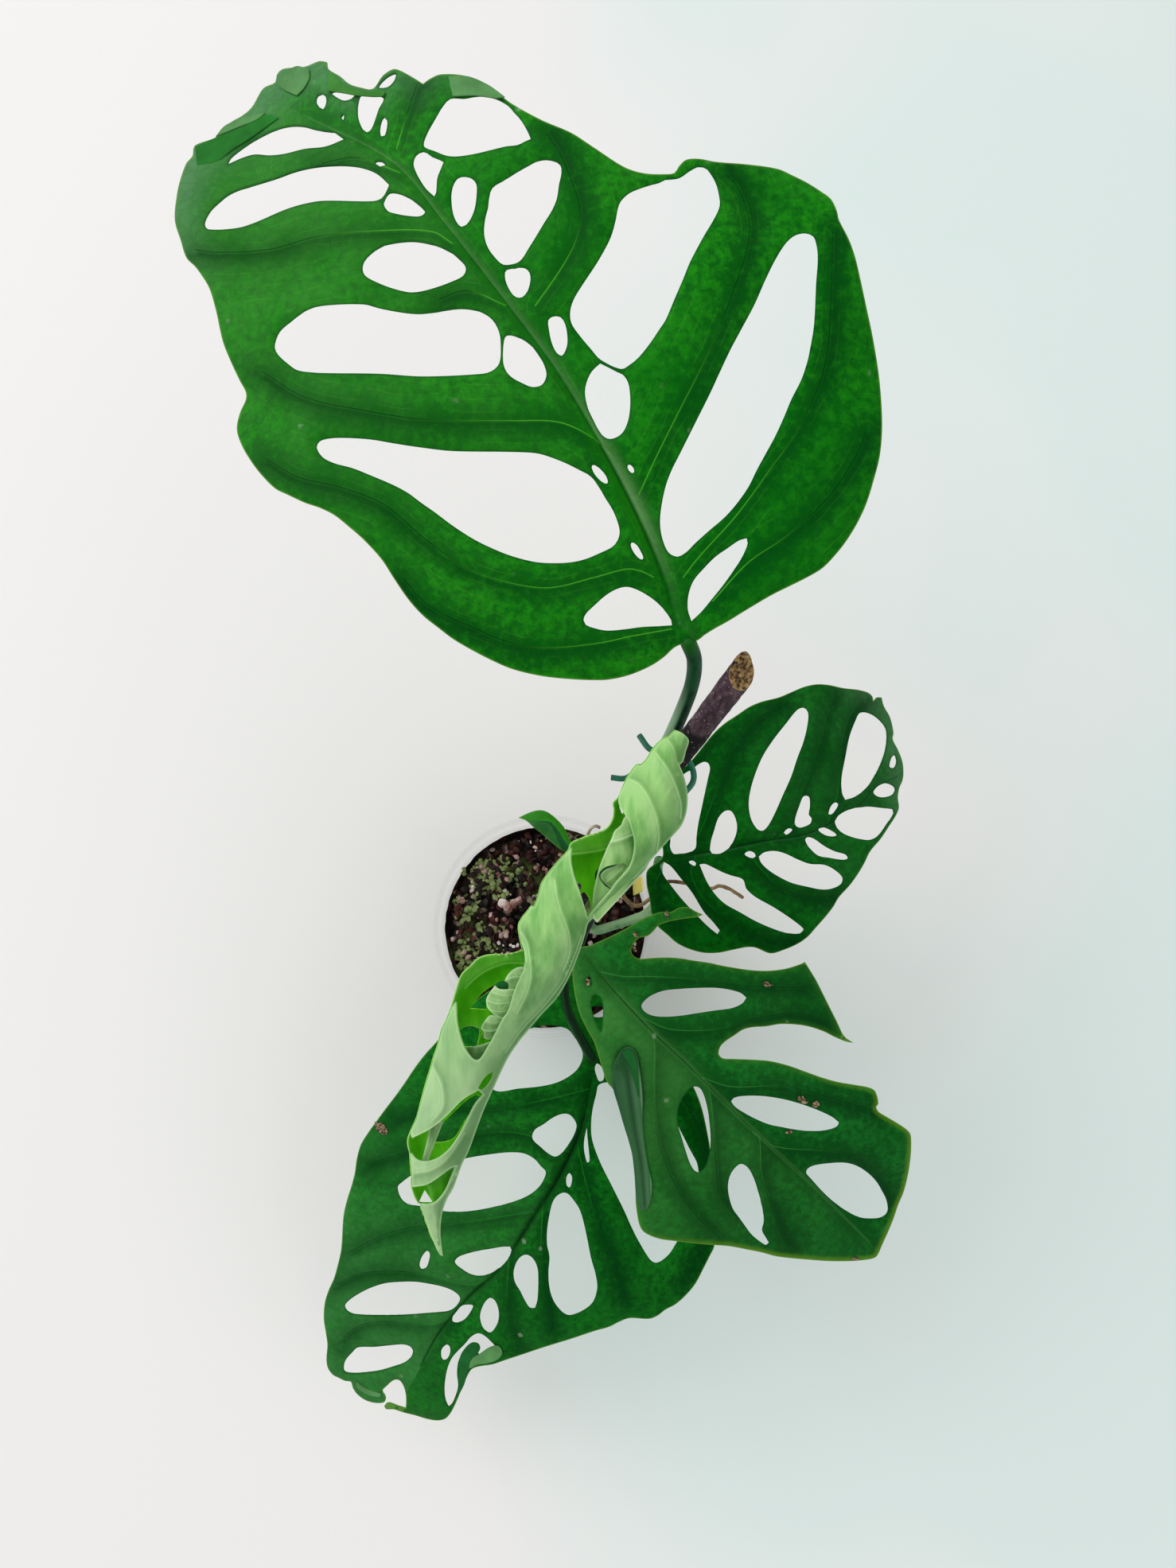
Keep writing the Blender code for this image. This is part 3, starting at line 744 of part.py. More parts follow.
tube("petiole_lower_right", [(33.2, 17.7, 172), (35.3, 13.6, 174), (33.5, 8.5, 186), (27, 0, 208),
                             (21.8, -9.5, 227), (19.8, -16, 234.3)], 2.4, petiole_green, parts)
tube("petiole_lower_left", [(21, 2.3, 131.9), (19.8, -1.8, 133.9), (16, -11, 145), (12, -26, 164),
                            (12.8, -42, 163), (17.6, -54, 158.5), (25, -68, 154.2)], 2.4, petiole_green, parts)
tube("petiole_small", [(21, 7.6, 122.2), (21.4, 11.5, 121.8), (22.2, 19, 126), (22, 27.5, 133.5)], 1.6, petiole_green, parts)

# The leaves.
blade(BIG_LEAF, big_green)
blade(RIGHT_LEAF, dark_green)
blade(LOWER_RIGHT_LEAF, mid_green)
blade(LOWER_LEFT_LEAF, mid_green)
blade(SMALL_LEAF, mid_green)

# The new leaf: a hollow spindle, open where its turns part.
new_leaf = add_object("leaf_new", spindle("leaf_new", ROLL_RINGS, 0.0, 14), new_green, parts)
hollow = add_object("roll_hollow", spindle("roll_hollow", ROLL_RINGS[1:26], ROLL_WALL, 14), None, cutters)
cut(new_leaf, hollow)
for number, (reach, gap) in enumerate(ROLL_GAPS):
    cut(new_leaf, sight_cutter("roll_gap_%d" % number, gap, reach))

# Two wire ties round the stake and the stem, with their free ends left long.
tube("tie_upper", [(43.7, 63.5, 301), (48.3, 57.4, 302.5), (55.5, 58.2, 302.3), (61.5, 54.8, 301.2), (64.6, 50, 300.3),
                   (64.6, 45, 299.6), (60.5, 40, 299), (56, 35.2, 298.5), (50, 33.6, 298), (43.9, 36.2, 297.5),
                   (42.4, 42.5, 297), (45, 49.6, 296.5)], 1.1, tie_green, parts, steps=2)
tube("tie_lower", [(32.8, 48.8, 289), (39, 48.6, 289.3), (45, 53, 289.8), (51.5, 55, 290.2), (57.6, 51.5, 290.6),
                   (57.2, 43.5, 290.9), (54, 36, 291.2), (48, 32.2, 291.3), (41.3, 34.2, 291),
                   (40.4, 41, 290.7)], 1.1, tie_green, parts, steps=2)

# A narrow plastic label, pushed in by the wall and leaning on the rim.
LABEL_TILT = math.atan2(13.3, 52.0)
LABEL_TURN = math.radians(24.0)
LABEL_SIZE = Vector((0.8, 12.0, 54.0))
label_foot = Vector((46.0 * math.cos(LABEL_TURN), 46.0 * math.sin(LABEL_TURN), 75.0))


def label_box(name, size):
    """A box of the label's tilt, standing on its foot."""
    bpy.ops.mesh.primitive_cube_add(size=1.0)
    made = bpy.context.object
    made.name = name
    made.data.transform(Matrix.Diagonal((*(size * MM), 1.0)))
    turn = Matrix.Rotation(LABEL_TURN, 4, "Z") @ Matrix.Rotation(LABEL_TILT, 4, "Y")
    made.data.transform(Matrix.Translation(label_foot * MM) @ turn @ Matrix.Translation((0, 0, 27.0 * MM)))
    for owner in made.users_collection:
        owner.objects.unlink(made)
    return made


label = label_box("plant_label", LABEL_SIZE)
label.data.materials.append(label_yellow)
parts.objects.link(label)
slot = label_box("label_slot", LABEL_SIZE + Vector((2 * GAP, 2 * GAP, 2 * GAP)))
cutters.objects.link(slot)
cut(mix, slot)

# Aerial roots: one lies over the rim at the right, one curls over it at the back.
tube("root_right", [(28.8, 9.3, 141), (32.5, 9, 138.5), (37.5, 13, 129.5), (41.3, 16.3, 121), (44, 13.2, 118.4), (48, 10.2, 117.4),
                    (53, 10.8, 117.3), (60, 16.2, 117.4), (65.9, 22.6, 117.2), (78, 21.8, 117), (89.7, 18.6, 116.5),
                    (107.6, 15.6, 115)], 1.3, root_brown, parts, steps=2)
tube("root_back", [(18.7, 6.4, 118.5), (17, 18, 114), (19, 32, 113), (22.4, 44, 116), (24, 49.7, 119),
                   (27.2, 52.8, 119.8), (30.2, 52, 119)], 1.2, root_brown, parts, steps=2)
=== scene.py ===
"""A climbing monstera in a clear nursery pot, tied to a twig, seen steeply from above on a pale floor.

Sizes are in millimetres, scaled by MM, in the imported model's own frame.
"""

import math
import random

import bmesh
import bpy
import numpy as np
from mathutils import Matrix, Vector, geometry, kdtree, noise


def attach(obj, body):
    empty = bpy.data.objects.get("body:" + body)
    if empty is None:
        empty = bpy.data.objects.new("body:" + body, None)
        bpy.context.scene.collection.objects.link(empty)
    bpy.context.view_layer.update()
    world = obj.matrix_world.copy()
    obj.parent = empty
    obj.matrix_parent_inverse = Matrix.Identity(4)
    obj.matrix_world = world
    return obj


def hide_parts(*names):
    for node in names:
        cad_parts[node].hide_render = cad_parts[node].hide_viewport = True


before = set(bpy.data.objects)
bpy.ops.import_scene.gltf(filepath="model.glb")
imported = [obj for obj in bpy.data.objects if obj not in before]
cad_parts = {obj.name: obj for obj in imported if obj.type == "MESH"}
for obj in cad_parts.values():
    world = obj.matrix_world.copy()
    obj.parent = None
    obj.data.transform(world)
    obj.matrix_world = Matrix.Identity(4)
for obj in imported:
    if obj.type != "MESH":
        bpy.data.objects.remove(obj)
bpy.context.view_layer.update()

MM = 0.001
bpy.ops.object.select_all(action="DESELECT")

# Surroundings: a white floor under soft light, and a camera where the photograph was taken, 75 cm above the
# floor and tipped ten degrees from straight down.
VIEW_POINT = Vector((23.6, -35.9, 754.5))
VIEW_TILT = math.radians(10.0)


def colour(code):
    """A linear colour from an sRGB hex code."""
    parts = [int(code[start:start + 2], 16) / 255 for start in (1, 3, 5)]
    return (*[part / 12.92 if part <= 0.04045 else ((part + 0.055) / 1.055) ** 2.4 for part in parts], 1.0)


def new_look(name):
    """A node material, the function that adds a node to it, and its object coordinates."""
    look = bpy.data.materials.new(name)
    look.use_nodes = True
    tree = look.node_tree

    def add(kind, inputs, out=0, stops=(), **settings):
        """Adds a node and gives one of its outputs. Its inputs go by name or in order, each a number, a hex
        colour or another node's output. Stops are the places and colours of a ramp."""
        node = tree.nodes[kind] if kind == "Principled BSDF" else tree.nodes.new(f"ShaderNode{kind}")
        for title, value in settings.items():
            setattr(node, title, value)
        for number, (place, tint) in enumerate(stops):
            ramp = node.color_ramp.elements
            stop = ramp[number] if number < 2 else ramp.new(place)
            stop.position = place
            stop.color = colour(tint) if isinstance(tint, str) else tint
        for title, value in inputs.items() if isinstance(inputs, dict) else enumerate(inputs):
            if isinstance(value, bpy.types.NodeSocket):
                tree.links.new(value, node.inputs[title])
            else:
                node.inputs[title].default_value = colour(value) if isinstance(value, str) else value
        return node.outputs[out]

    return look, add, add("TexCoord", {}, "Object")


def sized(grain):
    """The scale of a pattern whose grain is so many millimetres."""
    return 1.0 / (grain * MM)


def coat(add, under, tint, *strengths, easing="SMOOTHSTEP"):
    """A colour laid over another, as strong as its strengths multiplied together. Each is a node's output, or a
    ramp: a value, the two ends of its range, and the strengths at those ends."""
    parts = [add("MapRange", strength, interpolation_type=easing) if isinstance(strength, tuple) else strength
             for strength in strengths]
    whole = parts[0]
    for part in parts[1:]:
        whole = add("Math", (whole, part), operation="MULTIPLY")
    return add("Mix", {0: whole, 6: under, 7: tint}, 2, data_type="RGBA")


camera_data = bpy.data.cameras.new("camera")
camera_data.lens = 27.09
camera = bpy.data.objects.new("camera", camera_data)
camera.location = VIEW_POINT * MM
camera.rotation_euler = (VIEW_TILT, 0.0, 0.0)
bpy.context.collection.objects.link(camera)
bpy.context.scene.camera = camera
bpy.context.scene.view_settings.view_transform = "Standard"

# The paint is matt and evenly white, with a faint cool cast that sets in towards the right.
bpy.ops.mesh.primitive_plane_add(size=8.0)
floor = bpy.context.object
floor.name = "floor"
paint, add, spot = new_look("matt_white_paint")
clouds = add("TexNoise", {"Vector": spot, "Scale": sized(500.0), "Detail": 2.0})
sideways = add("SeparateXYZ", {"Vector": spot}, "X")
drift = add("Math", (sideways, 0.7, clouds), operation="MULTIPLY_ADD")
tint = coat(add, "#eeedec", "#ddebe8", (drift, 0.5, 0.74, 0.0, 1.0), easing="LINEAR")
add("Principled BSDF", {"Base Color": tint, "Roughness": 0.8})
floor.data.materials.append(paint)

sky = bpy.data.worlds.new("soft_room")
sky.use_nodes = True
sky.node_tree.nodes["Background"].inputs["Color"].default_value = (1.0, 0.995, 0.99, 1.0)
sky.node_tree.nodes["Background"].inputs["Strength"].default_value = 0.63
bpy.context.scene.world = sky
for name, place, size, power in (
        ("window", (-2.3, 1.3, 2.6), 3.0, 71.0), ("fill", (1.5, -1.0, 2.2), 2.2, 9.0)):
    lamp_data = bpy.data.lights.new(name, "AREA")
    lamp_data.size = size
    lamp_data.energy = power
    lamp = bpy.data.objects.new(name, lamp_data)
    lamp.location = place
    lamp.rotation_euler = (Vector((0.0, 0.0, 0.2)) - Vector(place)).to_track_quat("-Z", "Y").to_euler()
    bpy.context.collection.objects.link(lamp)


# Pot: a thin nursery pot blown from clear polypropylene, with a stepped rim and drain holes in its floor.
# It is turned from its profile, given as radius and height, and shows where the wall is seen edge on.
POT_PROFILE = [(0.0, 2.0), (42.1, 2.0), (55.9, 104.0), (58.1, 104.6), (58.7, 114.4), (59.2, 115.0),
               (59.8, 114.6), (60.0, 113.8), (59.5, 103.4), (57.0, 103.0), (43.7, 1.2), (42.6, 0.0), (0.0, 0.0)]
DRAINS = 8
DRAIN_RING = 28.0


def new_mesh(name, points, faces, looks, edges=()):
    """A piece from its points in millimetres, riding on the plant's one body."""
    mesh = bpy.data.meshes.new(name)
    mesh.from_pydata([Vector(point) * MM for point in points], list(edges), faces)
    made = bpy.data.objects.new(name, mesh)
    for look in looks:
        mesh.materials.append(look)
    bpy.context.collection.objects.link(made)
    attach(made, "root")
    return made


def pick(piece):
    """Makes one piece the only selected and active one."""
    bpy.ops.object.select_all(action="DESELECT")
    piece.select_set(True)
    bpy.context.view_layer.objects.active = piece


def tidy(piece, angle=40.0):
    """Merges a piece's doubles, turns its faces outwards and shades it smooth up to an angle."""
    pick(piece)
    bpy.ops.object.mode_set(mode="EDIT")
    bpy.ops.mesh.select_all(action="SELECT")
    bpy.ops.mesh.remove_doubles(threshold=0.00002)
    bpy.ops.mesh.normals_make_consistent(inside=False)
    bpy.ops.object.mode_set(mode="OBJECT")
    bpy.ops.object.shade_smooth_by_angle(angle=math.radians(angle))


# So thin a film is all but clear face on, and milky where it turns away.
clear, add, spot = new_look("clear_polypropylene")
edge_on = add("LayerWeight", {"Blend": 0.35}, "Facing")
film = add("MapRange", (edge_on, 0.0, 1.0, 0.02, 0.12))
haze = add("TexNoise", {"Vector": spot, "Scale": sized(16.67), "Detail": 3.0})
cloudy = add("MapRange", (haze, 0.0, 1.0, 0.12, 0.35))
ripple = add("Bump", {"Height": haze, "Strength": 0.15, "Distance": 0.001})
add("Principled BSDF", {"Base Color": "#fdfcf8", "Roughness": cloudy, "IOR": 1.49, "Alpha": film,
                        "Normal": ripple})
pot = new_mesh("nursery_pot", [(radius, 0.0, height) for radius, height in POT_PROFILE], [], [clear],
               [(step, step + 1) for step in range(len(POT_PROFILE) - 1)])
pick(pot)
bpy.ops.object.mode_set(mode="EDIT")
bpy.ops.mesh.select_all(action="SELECT")
bpy.ops.mesh.spin(steps=128, angle=2 * math.pi, center=(0, 0, 0), axis=(0, 0, 1))
bpy.ops.object.mode_set(mode="OBJECT")
tidy(pot)
for drain_number in range(DRAINS):
    turn = 2 * math.pi * (drain_number + 0.5) / DRAINS
    bpy.ops.mesh.primitive_cylinder_add(vertices=24, radius=4.0 * MM, depth=20.0 * MM, location=(
        DRAIN_RING * MM * math.cos(turn), DRAIN_RING * MM * math.sin(turn), 0.0))
    drill = bpy.context.object
    pick(pot)
    drain = pot.modifiers.new("drain", "BOOLEAN")
    drain.object = drill
    bpy.ops.object.modifier_apply(modifier="drain")
    bpy.data.objects.remove(drill)
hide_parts("pot")


# Potting mix: fir bark, perlite-pale pumice and dark fibre, damp, with green algae where light falls on it.
# A finely lumped bed fills the pot, and loose bark chips and pumice grains lie on it.
MIX_LEVEL = 96.0
CLINGING_FROM = 52.8
SWELL, COARSE_LUMP, FINE_LUMP = 30.0, 9.0, 3.6
WALL_TOP, WALL_FOOT = 91.0, 2.4
WALL_RADIUS, WALL_SLOPE = 41.4, 0.136
WALL_ROWS = 12
SECTORS = 150


def bed_height(x, y):
    """Top of the bed at a point: coarse and fine lumps, a slow swell, and mix clinging to the wall."""
    near, far = noise.voronoi(Vector((x, y, 0.0)) / COARSE_LUMP)[0][:2]
    fine_near, fine_far = noise.voronoi(Vector((x, y, 7.0)) / FINE_LUMP)[0][:2]
    lumps = 3.2 * min(1.0, 2.2 * (far - near)) + 1.3 * min(1.0, 2.0 * (fine_far - fine_near)) - 2.4
    clinging = max(0.0, math.hypot(x, y) - CLINGING_FROM) * 2.0
    return MIX_LEVEL + 2.0 * noise.noise(Vector((x, y, 3.0)) / SWELL) + lumps + clinging


# Wet bark and fibre look nearly black, with few pale bits and a thin green film in patches. Near-black
# patches among the bits are a painted shade.
damp, add, spot = new_look("damp_bark_mix")
bits = add("TexVoronoi", {"Vector": spot, "Scale": sized(4.348)})
bit_kind = add("SeparateColor", {"Color": bits.node.outputs["Color"]}, "Red")
stuff = add("ValToRGB", {"Fac": bit_kind}, stops=[
    (0.0, "#060303"), (0.4, "#120807"), (0.62, "#260f0a"), (0.78, "#3c1a12"), (0.88, "#54342e"),
    (0.95, "#927a72"), (1.0, "#c4aea6")])
# Painted shade: the bed is coated near black in patches, standing in for the shade between its bits.
shaded = coat(add, "#0c0706", stuff, (bits, 0.25, 0.7, 1.0, 0.12), easing="LINEAR")
blooms = add("TexNoise", {"Vector": spot, "Scale": sized(26.32), "Detail": 3.0})
greened = coat(add, shaded, "#55682f", (blooms, 0.54, 0.68, 0.0, 0.6), easing="LINEAR")
grit = add("TexNoise", {"Vector": spot, "Scale": sized(2.0), "Detail": 4.0})
rough = add("Bump", {"Height": grit, "Strength": 0.6, "Distance": 0.001})
add("Principled BSDF", {"Base Color": greened, "Roughness": 0.75, "Specular IOR Level": 0.1, "Normal": rough})

rings = [*[1.2 * step for step in range(1, 46)], 55.1]
points = [(0.0, 0.0, bed_height(0.0, 0.0))]
for radius in rings:
    for sector in range(SECTORS):
        turn = 2 * math.pi * sector / SECTORS
        x, y = radius * math.cos(turn), radius * math.sin(turn)
        points.append((x, y, bed_height(x, y)))
for row in range(WALL_ROWS):
    height = WALL_TOP - (WALL_TOP - WALL_FOOT) * row / (WALL_ROWS - 1)
    for sector in range(SECTORS):
        turn = 2 * math.pi * sector / SECTORS
        roughness = 0.5 * abs(noise.noise(Vector((turn * 9.0, height / 5.0, 1.0))))
        radius = WALL_RADIUS + WALL_SLOPE * height - roughness
        points.append((radius * math.cos(turn), radius * math.sin(turn), height))
faces = [(0, 1 + sector, 1 + (sector + 1) % SECTORS) for sector in range(SECTORS)]
for ring in range(len(rings) + WALL_ROWS - 1):
    start = 1 + ring * SECTORS
    for sector in range(SECTORS):
        after = (sector + 1) % SECTORS
        faces.append((start + sector, start + SECTORS + sector, start + SECTORS + after, start + after))
faces.append(tuple(range(len(points) - SECTORS, len(points)))[::-1])
bed = new_mesh("mix_bed", points, faces, [damp])
tidy(bed, 60.0)
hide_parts("potting_mix")


def scatter(name, count, size_range, flatness, looks, seed, reach=52.0, middle=(0.0, 0.0), clumped=False):
    """Loose lumps strewn over the bed round its middle or another, each a rough stone-shaped copy of one lump.
    Clumped ones leave parts of it bare."""
    dice = random.Random(seed)
    bpy.ops.mesh.primitive_ico_sphere_add(subdivisions=1, radius=1.0)
    pattern = bpy.context.object
    lump = [vert.co.copy() for vert in pattern.data.vertices]
    lump_faces = [tuple(face.vertices) for face in pattern.data.polygons]
    bpy.data.objects.remove(pattern)
    points = []
    faces = []
    for number in range(count):
        radius = reach * math.sqrt(dice.random())
        turn = dice.uniform(0.0, 2 * math.pi)
        x, y = middle[0] + radius * math.cos(turn), middle[1] + radius * math.sin(turn)
        size = dice.uniform(*size_range)
        if clumped and noise.noise(Vector((x, y, 5.0 * seed)) / 9.0) < 0.04:
            continue
        heading = Matrix.Rotation(dice.uniform(0.0, math.pi), 3, "Z")
        tilt = heading @ Matrix.Rotation(dice.uniform(-0.5, 0.5), 3, "X")
        place = Vector((x, y, bed_height(x, y) + 0.35 * size * flatness[2]))
        first = len(points)
        for co in lump:
            dent = 1.0 + 0.45 * noise.noise(co * 1.3 + Vector((number, 0.0, seed)))
            shaped = Vector((co.x * flatness[0], co.y * flatness[1], co.z * flatness[2])) * (0.5 * size * dent)
            points.append(place + tilt @ shaped)
        faces.extend(tuple(first + corner for corner in face) for face in lump_faces)
    made = new_mesh(name, points, faces, looks)
    pick(made)
    bpy.ops.object.shade_smooth_by_angle(angle=math.radians(50.0))


# Bark breaks into flaky plates, dark when wet.
chip_look, add, spot = new_look("fir_bark")
plates = add("TexNoise", {"Vector": spot, "Scale": sized(11.11), "Detail": 1.0})
brown = add("ValToRGB", {"Fac": plates}, stops=[
    (0.3, "#040202"), (0.46, "#0d0504"), (0.58, "#220b08"), (0.7, "#451c16")])
layers = add("TexNoise", {"Vector": spot, "Scale": sized(1.429), "Detail": 3.0})
flaky = add("Bump", {"Height": layers, "Strength": 0.5, "Distance": 0.0006})
add("Principled BSDF", {"Base Color": brown, "Roughness": 0.5, "Specular IOR Level": 0.2, "Normal": flaky})
scatter("bark_chips", 560, (2.6, 7.0), (1.0, 0.62, 0.4), [chip_look], 4)

# Pumice is a pale froth of glass, pitted all over and stained brown by the bark.
pumice, add, spot = new_look("pumice")
stain = add("TexNoise", {"Vector": spot, "Scale": sized(16.67), "Detail": 2.0})
pale = add("ValToRGB", {"Fac": stain}, stops=[
    (0.36, "#52302c"), (0.45, "#8a5c55"), (0.55, "#bb9c96"), (0.66, "#f6ebe7")])
pores = add("TexVoronoi", {"Vector": spot, "Scale": sized(0.6667)})
pitted = add("Bump", {"Height": pores, "Strength": 0.5, "Distance": 0.0005})
add("Principled BSDF", {"Base Color": pale, "Roughness": 0.9, "Normal": pitted})
scatter("pumice_grains", 620, (1.4, 4.4), (1.0, 0.85, 0.7), [pumice], 9, clumped=True)
scatter("pumice_lump", 5, (4.5, 6.5), (1.0, 0.9, 0.8), [pumice], 3, 5.0, (-19.0, 12.0))

# Algae dull the crumbs they grow on to a soft olive.
crumb_look, add, spot = new_look("algae_crumbs")
growth = add("TexNoise", {"Vector": spot, "Scale": sized(3.333), "Detail": 3.0})
olive = add("Mix", {0: growth, 6: "#1c2810", 7: "#a2b26e"}, 2, data_type="RGBA")
fuzzy = add("Bump", {"Height": growth, "Strength": 0.6, "Distance": 0.0006})
add("Principled BSDF", {"Base Color": olive, "Roughness": 0.95, "Normal": fuzzy})
scatter("algae_grains", 340, (1.6, 4.2), (1.0, 0.85, 0.5), [crumb_look], 15, 24.0, (-28.0, 15.0), clumped=True)
scatter("algae_grains_by_the_wall", 190, (1.6, 3.6), (1.0, 0.85, 0.5), [crumb_look], 21, 12.0, (-38.0, -16.0))
scatter("algae_grains_behind", 120, (1.6, 3.6), (1.0, 0.85, 0.5), [crumb_look], 23, 10.0, (-33.0, 28.0))


# Stake: a cut twig, purplish brown and speckled with pale pores, pushed into the mix beside the stem.
# It is sawn off at a slant, so that its tan pith shows, with a splinter standing at the low edge of the cut.
STAKE_LOW = Vector((6.0, -1.0, 98.0))
STAKE_HIGH = Vector((71.0, 62.0, 400.0))
STAKE_RADIUS = 4.5
STAKE_SIDES = 28
STAKE_STEPS = 170
STAKE_DEPTH = 84.0
CUT_WAY = Vector((0.35, -0.45, 0.82)).normalized()
CUT_SLOPE = Vector((-0.4, 0.9, 0.1))


def lay_rings(spine, radius_at, sides, rough_at):
    """Rings of points round a line, square to it: radius along it, and roughness by place."""
    points = []
    side_way = (spine[1] - spine[0]).orthogonal().normalized()
    for number, place in enumerate(spine):
        ahead = (spine[min(number + 1, len(spine) - 1)] - spine[max(number - 1, 0)]).normalized()
        side_way = (side_way - ahead * side_way.dot(ahead)).normalized()
        other = ahead.cross(side_way)
        for side in range(sides):
            turn = 2 * math.pi * side / sides
            out = side_way * math.cos(turn) + other * math.sin(turn)
            points.append(place + out * (radius_at(number / (len(spine) - 1)) + rough_at(place + out * 4.0)))
    return points


def ring_faces(rows, sides):
    """Faces of a tube with both ends closed."""
    faces = []
    for row in range(rows - 1):
        for side in range(sides):
            here, after = row * sides + side, row * sides + (side + 1) % sides
            faces.append((here, after, after + sides, here + sides))
    faces.append(tuple(range(sides))[::-1])
    faces.append(tuple(range((rows - 1) * sides, rows * sides)))
    return faces


# Twig bark is finely ridged lengthways, dry and matt, and dotted with pale pores. Below the leaf it is
# painted near black, a painted cast shadow.
bark, add, spot = new_look("twig_bark")
lengthways = add("Mapping", {"Vector": spot, "Rotation": (0.2, -0.2, 0.0), "Scale": (1.0, 1.0, 0.25)})
grain = add("TexNoise", {"Vector": lengthways, "Scale": sized(1.923), "Detail": 5.0})
brown = add("ValToRGB", {"Fac": grain}, stops=[(0.3, "#2a1d23"), (0.5, "#43323b"), (0.68, "#604c53")])
height = add("SeparateXYZ", {"Vector": spot}, "Z")
# Painted shadow: below a set height the twig is painted near black, where the leaf's shadow falls.
painted_shadow_below = coat(add, brown, "#0e0a0e", (height, 0.36, 0.364, 0.95, 0.0))
pores = add("TexVoronoi", {"Vector": spot, "Scale": sized(2.381)})
specked = coat(add, painted_shadow_below, "#85777a", (pores, 0.12, 0.22, 0.75, 0.0), easing="LINEAR")
ridges = add("Bump", {"Height": grain, "Strength": 0.6, "Distance": 0.0008})
add("Principled BSDF", {"Base Color": specked, "Roughness": 0.85, "Specular IOR Level": 0.15, "Normal": ridges})

# The sawn pith is tan and full of the dark ends of tubes.
pith, add, spot = new_look("sawn_pith")
tubes = add("TexNoise", {"Vector": spot, "Scale": sized(1.613), "Detail": 5.0})
tan = add("ValToRGB", {"Fac": tubes}, stops=[(0.38, "#1c1108"), (0.46, "#6a4f2c"), (0.6, "#a58856")])
pitted = add("Bump", {"Height": tubes, "Strength": 0.8, "Distance": 0.001})
add("Principled BSDF", {"Base Color": tan, "Roughness": 0.9, "Normal": pitted})

stake_run = STAKE_HIGH - STAKE_LOW
stake_way = stake_run.normalized()
stake_foot = STAKE_LOW - stake_run * STAKE_DEPTH / stake_run.z
stake_length = (STAKE_HIGH - stake_foot).length + 6.0
spine = []
for step in range(STAKE_STEPS + 1):
    part_way = step / STAKE_STEPS
    sway = 0.6 * math.sin(7.0 * part_way)
    spine.append(stake_foot + stake_way * (stake_length * part_way) + Vector((sway, -sway, 0.0)))
stake = new_mesh("cut_twig", lay_rings(
    spine, lambda t: STAKE_RADIUS * (1.0 + 0.04 * max(0.0, math.sin(31.0 * t)) ** 8), STAKE_SIDES,
    lambda place: 0.2 * noise.noise(place / 4.0) + 0.12 * noise.noise(place / 0.9) - 0.1),
    ring_faces(len(spine), STAKE_SIDES), [bark, pith])
pick(stake)
bpy.ops.object.mode_set(mode="EDIT")
bpy.ops.mesh.select_all(action="SELECT")
bpy.ops.mesh.bisect(plane_co=STAKE_HIGH * MM, plane_no=CUT_WAY, use_fill=True, clear_outer=True)
stake.active_material_index = 1
bpy.ops.object.material_slot_assign()
bpy.ops.mesh.inset(thickness=0.0006)
bpy.ops.mesh.poke()
bpy.ops.mesh.subdivide(number_cuts=5)
bpy.ops.object.mode_set(mode="OBJECT")
for vert in stake.data.vertices:
    inward = STAKE_HIGH - vert.co / MM
    if abs(inward.dot(CUT_WAY)) < 0.05:
        peak = max(0.0, -inward.dot(CUT_SLOPE) / STAKE_RADIUS - 0.35)
        rough = 1.1 * noise.noise(vert.co / MM / 1.1) if inward.length < STAKE_RADIUS * 0.92 else 0.0
        vert.co += MM * (stake_way * 4.0 * peak + CUT_WAY * rough)
pick(stake)
bpy.ops.object.shade_smooth_by_angle(angle=math.radians(45.0))
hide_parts("stake")


# Stem, petioles and roots: the green climbing stem beside the stake, ringed where each leaf left it, the smooth
# petioles that carry the leaves, and the dry brown roots that feel their way out of it.
def rounded_path(points, steps):
    """Points along a smooth curve through the given ones."""
    points = [Vector(point) for point in points]
    ends = [points[0] * 2 - points[1], *points, points[-1] * 2 - points[-2]]
    path = []
    for first, start, end, last in zip(ends, ends[1:], ends[2:], ends[3:]):
        for step in range(steps):
            t = step / steps
            path.append(0.5 * (2 * start + (end - first) * t + (2 * first - 5 * start + 4 * end - last) * t ** 2
                               + (3 * start - first - 3 * end + last) * t ** 3))
    return [*path, points[-1]]


def stalk(name, route, radius_at, look, node, steps=10, sides=20, rough=0.0, grain=2.0):
    """A round living or dry stalk along its route."""
    spine = rounded_path(route, steps)
    made = new_mesh(name, lay_rings(spine, radius_at, sides, lambda place: rough * noise.noise(place / grain)),
                    ring_faces(len(spine), sides), [look])
    pick(made)
    bpy.ops.object.shade_smooth_by_angle(angle=math.radians(50.0))
    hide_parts(node)


